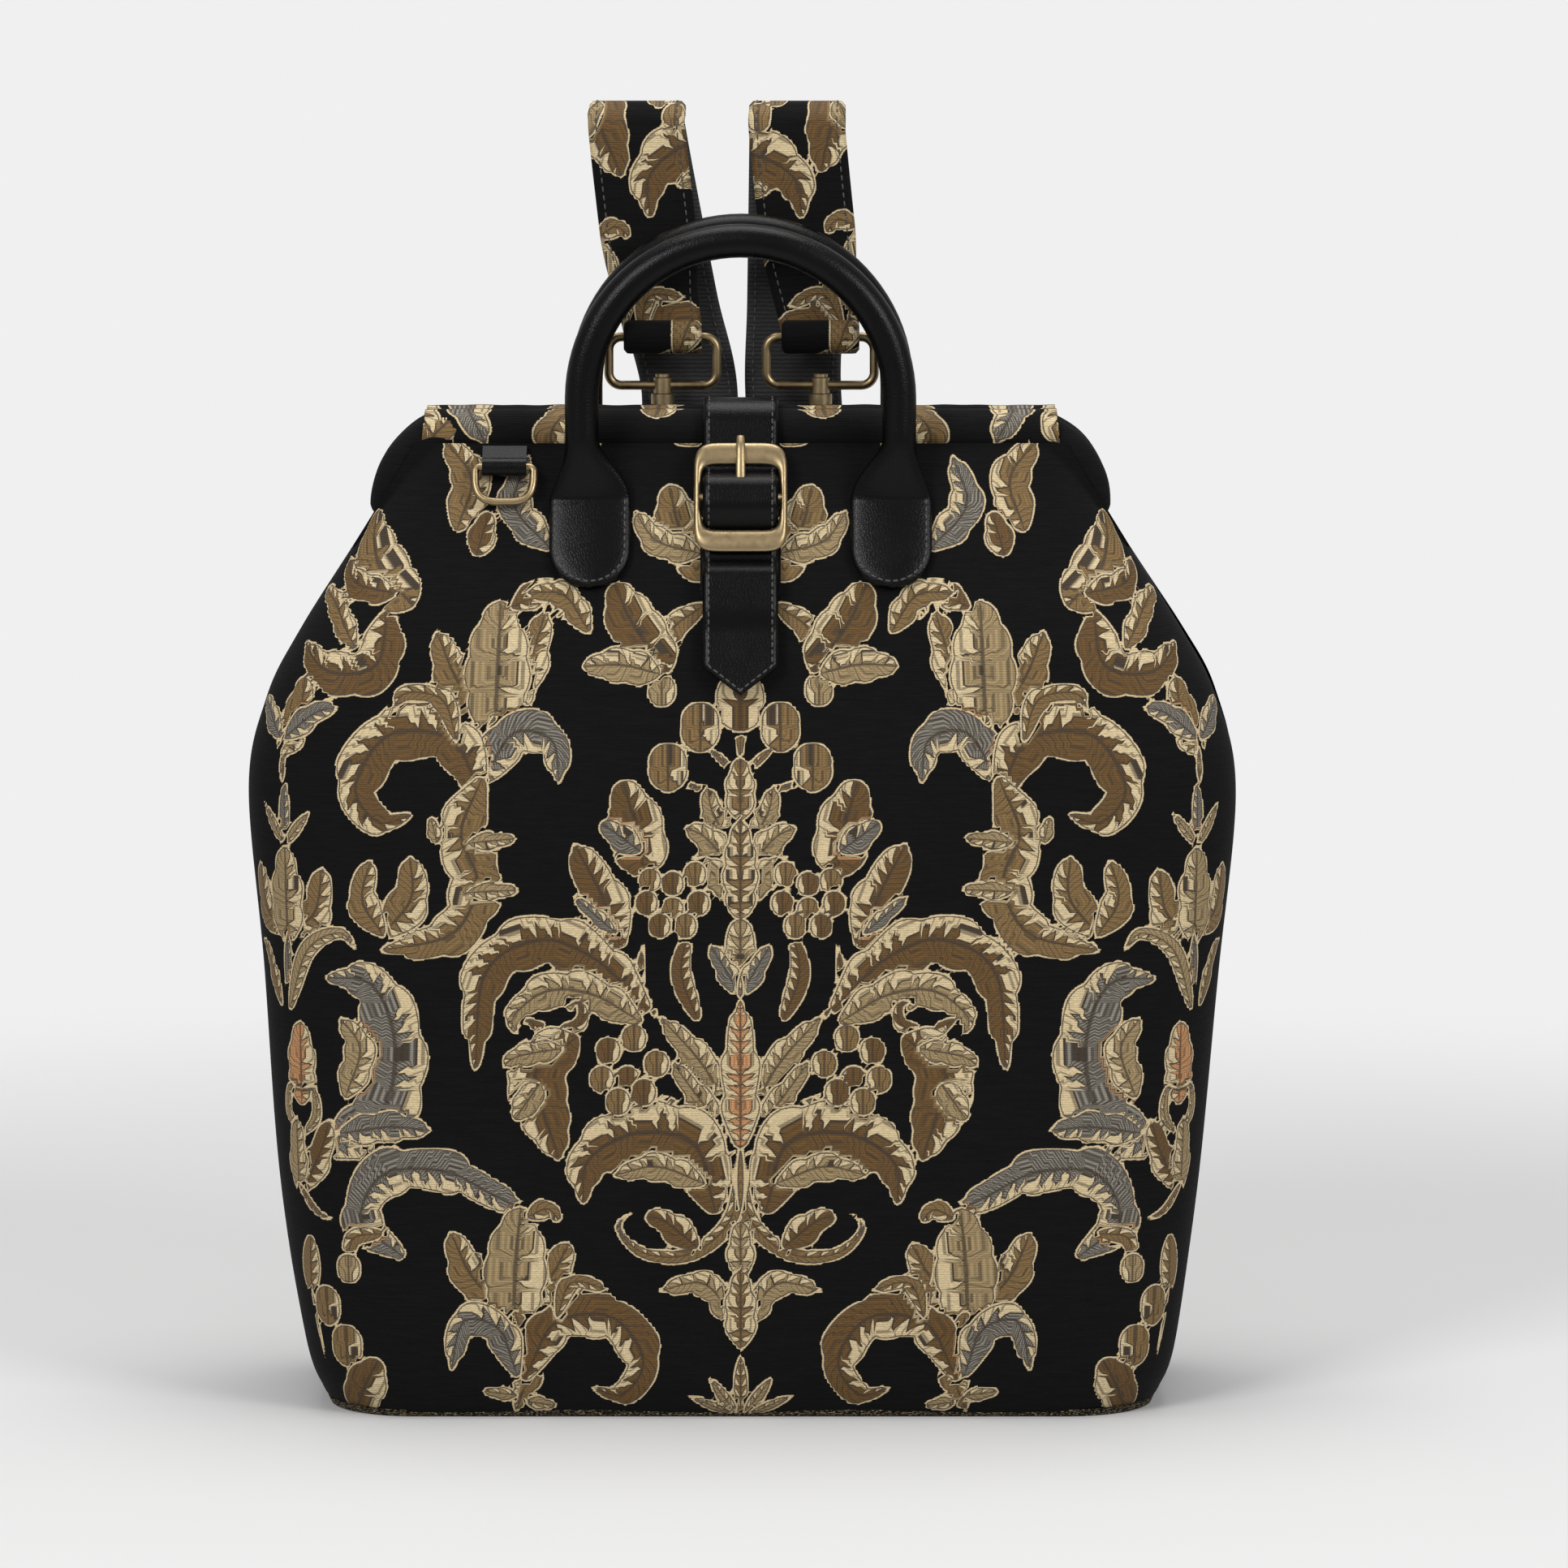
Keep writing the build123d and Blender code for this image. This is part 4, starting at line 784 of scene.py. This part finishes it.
def ribbon(name, line, halfWidths, thick, across=(1, 0, 0), crossings=22):
    # Flat strap with rounded edges along a line of points, with its width along X
    line = np.asarray(line, float)
    tangent = np.gradient(line, axis=0)
    tangent /= np.linalg.norm(tangent, axis=1)[:, None]
    wide = np.broadcast_to(np.asarray(across, float), line.shape)
    wide = wide - tangent * (wide * tangent).sum(axis=1)[:, None]
    wide /= np.linalg.norm(wide, axis=1)[:, None]
    out = np.cross(wide, tangent)
    half = np.broadcast_to(np.asarray(halfWidths, float), len(line))
    u = np.linspace(-1, 1, crossings)
    r = thick / 2
    section = [(s, 1.0) for s in u] + [(s, -1.0) for s in u[::-1]]
    ring = []
    for s, face in section:
        edge = np.clip((np.abs(s) * half - (half - r)) / r, 0, 1)
        height = face * r * np.sqrt(np.clip(1 - edge**2, 0.04, 1))
        ring.append(line + wide * (s * half)[:, None] + out * height[:, None])
    ring = np.stack(ring, axis=1)
    cols = len(section)
    faces = gridFaces(len(line), cols, wrapCols=True)
    faces.append(tuple(range(cols))[::-1])
    faces.append(tuple((len(line) - 1) * cols + np.arange(cols)))
    return addMesh(name, ring.reshape(-1, 3), faces), ring, out


strapPath = strapLine()
strapPoints = np.stack([np.zeros(len(strapPath)), strapPath[:, 0], strapPath[:, 1]], axis=1)
tail = np.linalg.norm(strapPoints - strapPoints[-1], axis=1)
pointed = strap["half"] * np.clip(tail / strap["point"] * 0.94 + 0.06, 0, 1)
strapHalf = np.where(strapPoints[:, 1] < 0, pointed, strap["half"])
strapObj, _, strapOut = ribbon("closingStrap", strapPoints, strapHalf, strap["thick"])
setMaterial(strapObj, leather)
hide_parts("closure_strap", "strap_sewn_end")
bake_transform(strapObj)
for side, word in ((-1, "L"), (1, "R")):
    for sectionEnd, owner in (("flap", "flap"), ("sewn", "bag")):
        use = (strapPoints[:, 1] < 5) if owner == "flap" else (strapPoints[:, 1] > 14)
        gapIn = np.maximum(strapHalf - 2.3, 0.0)
        faceOut = strapOut if (strapOut[len(strapOut) // 2] @ np.array([0, 0, 1])) > 0 else -strapOut
        edgeLine = strapPoints + faceOut * (strap["thick"] / 2 + 0.02) + np.outer(side * gapIn, (1, 0, 0))
        rowName = f"strapStitch_{sectionEnd}{word}"
        row = stitchRow(rowName, edgeLine[use], faceOut[use], stitch["gap"], stitch["strapSize"])
        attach(row, owner)
print("strap ready")


# Buckle: bowed frame with rounded bars
buckle = dict(middle=351.0, lift=6.0, thick=3.2, halfWide=18.0, halfTall=22.0, barIn=13.2, windowHalf=15.0)
buckle.update(power=0.28, around=14, steps=120, centreHalf=16.5, centreRadius=1.5)
prong = dict(line=((2.4, -1.2), (2.6, 2.0), (2.6, 8.0), (2.9, 14.0), (2.9, 20.0), (1.6, 24.0)), steps=26)


def buckleFrame():
    a = math.radians(collar["deg"])
    upward = np.array([0, math.sin(a), math.cos(a)])
    outward = np.array([0, -math.cos(a), math.sin(a)])
    centre = collarPoint(-1, buckle["middle"], buckle["lift"] + buckle["thick"] / 2)
    count, around = buckle["steps"], buckle["around"]
    turn = np.linspace(0, 2 * np.pi, count, endpoint=False)
    c, s = np.cos(turn), np.sin(turn)
    boxX, boxZ = np.sign(c) * np.abs(c) ** buckle["power"], np.sign(s) * np.abs(s) ** buckle["power"]
    inner = np.stack([boxX * buckle["windowHalf"], boxZ * buckle["barIn"]], axis=1)
    wide, tall = buckle["halfWide"] - 0.9 * np.abs(s) ** 3, buckle["halfTall"] - 1.2 * np.abs(c) ** 2
    outer = np.stack([boxX * wide, boxZ * tall], axis=1)
    rings = []
    for k in range(around):
        b = 2 * math.pi * k / around
        flat = inner + (outer - inner) * (0.5 - 0.5 * math.cos(b))
        dome = outward * math.sin(b) * buckle["thick"] / 2
        rings.append(centre + np.outer(flat[:, 0], (1, 0, 0)) + np.outer(flat[:, 1], upward) + dome)
    points = np.stack(rings, axis=1).reshape(-1, 3)
    faces = []
    for i in range(count):
        for k in range(around):
            j, m = (i + 1) % count, (k + 1) % around
            faces.append((i * around + k, i * around + m, j * around + m, j * around + k))
    obj = setMaterial(addMesh("buckleFrameMesh", points, faces), brass)
    span = np.linspace(-buckle["centreHalf"], buckle["centreHalf"], 6)
    barLine = [centre + np.array([x, 0, 0]) for x in span]
    bar, _ = tubeAlong("buckleCentreBar", barLine, buckle["centreRadius"], 12)
    setMaterial(bar, brass)
    prongLine = [centre + outward * out + upward * up for out, up in prong["line"]]
    path = smoothLine(np.array(prongLine), prong["steps"])
    wide, thick = np.linspace(2.1, 1.6, prong["steps"]), np.linspace(1.3, 1.0, prong["steps"])
    tongue, _ = tubeAlong("buckleProngMesh", path, wide, 14, up=(0, 1, 0), flatten=thick)
    setMaterial(tongue, brass)
    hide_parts("buckle_frame")
    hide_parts("buckle_prong")
    for piece in (obj, bar, tongue):
        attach(piece, "flap")


buckleFrame()

# Shoulder straps: damask face on black webbing, folded above the bag
shoulder = dict(half=19.0, loopHalf=15.5, thick=4.6, crossings=26)
shoulder.update(patternSide=62.0, patternFoot=40.0, repeat=270.0)
hook = dict(x=31.0, back=45.0, eyeTop=410.0, loop=6.7, fold=502.0, foldX={-1: -41.0, 1: 22.0}, runX=20.5)


def shoulderLine(side):
    foldX, runX, hookX = hook["foldX"][side], side * hook["runX"], side * hook["x"]
    loop, back, eyeTop, fold = hook["loop"], hook["back"], hook["eyeTop"], hook["fold"]
    points = [(hookX, back + loop * 0.62, eyeTop + 2.5),
              (hookX * 0.6 + foldX * 0.4, back + loop, eyeTop + loop * 4)]
    for out, drop in ((1.4, loop * 2), (1.9, loop * 0.7), (2.7, 2.3), (3.5, loop * 0.7), (3.9, loop * 2)):
        points.append((foldX, back + loop * out, fold - drop))
    points += [(foldX * 0.4 + runX * 0.6, back + loop * 3.4, eyeTop + loop * 2),
               (runX, back + loop * 2.6, 384.0), (runX + side * 6, back + loop * 2.3, 338.0),
               (runX + side * 20, 70 * 0.93 + 5.6, 264.0), (runX + side * 45, 75.0, 186.0),
               (side * 93.0, 75.2, 90.0), (side * 108.0, 74.2, 44.0), (side * 110.0, 73.8, 34.0)]
    return smoothLine(np.array(points), 300)


def shoulderStrap(side, name):
    line = shoulderLine(side)
    place = np.linspace(0, 1, len(line))
    half = shoulder["loopHalf"] + (shoulder["half"] - shoulder["loopHalf"]) * ease(place, 0.0, 0.07)
    obj, _, out = ribbon(name, line, half, shoulder["thick"], crossings=shoulder["crossings"])
    length = np.concatenate([[0], np.cumsum(np.linalg.norm(np.diff(line, axis=0), axis=1))])
    sweep = np.linspace(-1, 1, shoulder["crossings"])
    across = np.concatenate([sweep, sweep[::-1]])
    cols = len(across)
    sideways = (across[None, :] * half[:, None]).ravel() + side * shoulder["patternSide"]
    up = np.repeat(length, cols)
    paintPattern(obj, sideways, shoulder["patternFoot"] + np.mod(up, shoulder["repeat"]))
    setMaterial(obj, damask)
    obj.data.materials.append(webbing)
    # the damask is on the face that shows at the front; the webbing is behind
    facing = (out[8] @ np.array([0, -1, 0])) > 0
    for polygon in obj.data.polygons:
        column = min(v % cols for v in polygon.vertices)
        top = column < shoulder["crossings"] - 1
        polygon.material_index = 0 if top == facing else 1
    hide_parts(f"{'left' if side < 0 else 'right'}_shoulder_strap")
    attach(obj, "bag")
    for edge, edgeWord in ((-1, "N"), (1, "P")):
        for faceSide, faceWord in ((-1, "N"), (1, "P")):
            rowLine = line + out * (shoulder["thick"] / 2 * faceSide * 0.98)
            rowLine = rowLine + np.outer(edge * (half - 3.2), (1, 0, 0))
            rowName = f"{name}Stitch{edgeWord}{faceWord}"
            row = stitchRow(rowName, rowLine, out * faceSide, stitch["shoulderGap"], stitch["shoulderSize"])
            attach(row, "bag")
    return obj


shoulderStraps = [shoulderStrap(-1, "leftStrapCloth"), shoulderStrap(1, "rightStrapCloth")]
eyeLoop = dict(radius=4.6, half=15.3, thick=4.0, length=29.0, patternSide=93.0, patternFoot=221.0)
for side, word in ((-1, "L"), (1, "R")):
    loopLine = []
    for a in np.linspace(-0.5 * math.pi, 1.5 * math.pi, 40):
        y, z = eyeLoop["radius"] * math.cos(a), eyeLoop["radius"] * math.sin(a)
        loopLine.append((side * hook["x"], hook["back"] + y, hook["eyeTop"] + z))
    loopObj, loopRing, _ = ribbon(f"strapLoop{word}", loopLine, eyeLoop["half"], eyeLoop["thick"], crossings=24)
    turn = np.broadcast_to(np.linspace(0, eyeLoop["length"], len(loopLine))[:, None], loopRing.shape[:2])
    sideways = loopRing[:, :, 0] - side * hook["x"] + eyeLoop["patternSide"]
    paintPattern(loopObj, sideways, eyeLoop["patternFoot"] + turn)
    setMaterial(loopObj, damask)
    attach(loopObj, "bag")
print("shoulder straps ready")

# Fittings kept from the frame get a rounded edge
fittings = ["snap_tab", "front_ring_tab"]
for word in ("left", "right"):
    fittings += [word + "_foot_patch", word + "_hook_body", word + "_anchor_tab"]
for name in fittings:
    bevel = frame["nodes"][name].modifiers.new("soft", "BEVEL")
    bevel.width, bevel.segments, bevel.limit_method = 0.0006, 3, "ANGLE"

# Stage, light and camera
stage = dict(paper=(0.62, 0.62, 0.62), fill=0.45, backdrop=(0.871, 0.871, 0.871, 1), radius=1.6)
stage.update(target=(16.7, -70.0, 247.0), distance=3200.0, elevation=7.0, width=599.0, sensor=36.0)
world = bpy.context.scene.world or bpy.data.worlds.new("paperWorld")
bpy.context.scene.world = world
world.use_nodes = True
tree = world.node_tree
plain = tree.nodes["Background"]
plain.inputs[0].default_value, plain.inputs[1].default_value = (1, 1, 1, 1), stage["fill"]
seen = node(tree, "ShaderNodeBackground", in_0=stage["backdrop"])
both, rays = node(tree, "ShaderNodeMixShader"), node(tree, "ShaderNodeLightPath")
tree.links.new(rays.outputs["Is Camera Ray"], both.inputs[0])
tree.links.new(plain.outputs[0], both.inputs[1])
tree.links.new(seen.outputs[0], both.inputs[2])
tree.links.new(both.outputs[0], tree.nodes["World Output"].inputs[0])
bpy.ops.mesh.primitive_circle_add(
    vertices=96, radius=stage["radius"], fill_type="NGON", location=(0, 0, -0.0004))
floor = bpy.context.active_object
floor.name = "paperFloor"
paper, tree, shader = newMaterial("paper", stage["paper"], 1.0)
shader.inputs["Specular IOR Level"].default_value = 0.0
fade = node(tree, "ShaderNodeTexGradient", gradient_type="SPHERICAL")
where = node(tree, "ShaderNodeTexCoord")
grow = node(tree, "ShaderNodeVectorMath", operation="SCALE")
grow.inputs[3].default_value = 0.9
clear = node(tree, "ShaderNodeBsdfTransparent")
blend = node(tree, "ShaderNodeMixShader")
tree.links.new(where.outputs["Object"], grow.inputs[0])
tree.links.new(grow.outputs[0], fade.inputs[0])
tree.links.new(stepBand(tree, fade.outputs[1], 0.3, 0.28), blend.inputs[0])
tree.links.new(clear.outputs[0], blend.inputs[1])
tree.links.new(shader.outputs[0], blend.inputs[2])
tree.links.new(blend.outputs[0], tree.nodes["Material Output"].inputs[0])
floor.data.materials.append(paper)


def areaLight(name, place, aim, size, power):
    data = bpy.data.lights.new(name, "AREA")
    data.energy, data.size = power, size
    lamp = bpy.data.objects.new(name, data)
    lamp.location = place
    lamp.rotation_euler = (Vector(aim) - Vector(place)).to_track_quat("-Z", "Y").to_euler()
    bpy.context.collection.objects.link(lamp)
    return lamp


areaLight("keyLeft", (-1.3, -1.9, 1.6), (0, 0, 0.25), 0.9, 34)
areaLight("keyRight", (1.6, -1.5, 1.3), (0, 0, 0.25), 0.8, 24)
areaLight("topSoft", (0, 0.2, 2.2), (0, 0, 0.2), 1.4, 26)

camera = bpy.data.objects.new("camera", bpy.data.cameras.new("camera"))
bpy.context.collection.objects.link(camera)
angle = math.radians(stage["elevation"])
target = np.array(stage["target"])
spot = target + stage["distance"] * np.array([0, -math.cos(angle), math.sin(angle)])
camera.location = spot * mm
camera.rotation_euler = (Vector(target * mm) - camera.location).to_track_quat("-Z", "Y").to_euler()
camera.data.sensor_width = stage["sensor"]
camera.data.lens = stage["sensor"] * stage["distance"] / stage["width"]
camera.data.clip_end = 100
bpy.context.scene.camera = camera
bpy.context.scene.view_settings.view_transform = "Standard"
print("stage ready")
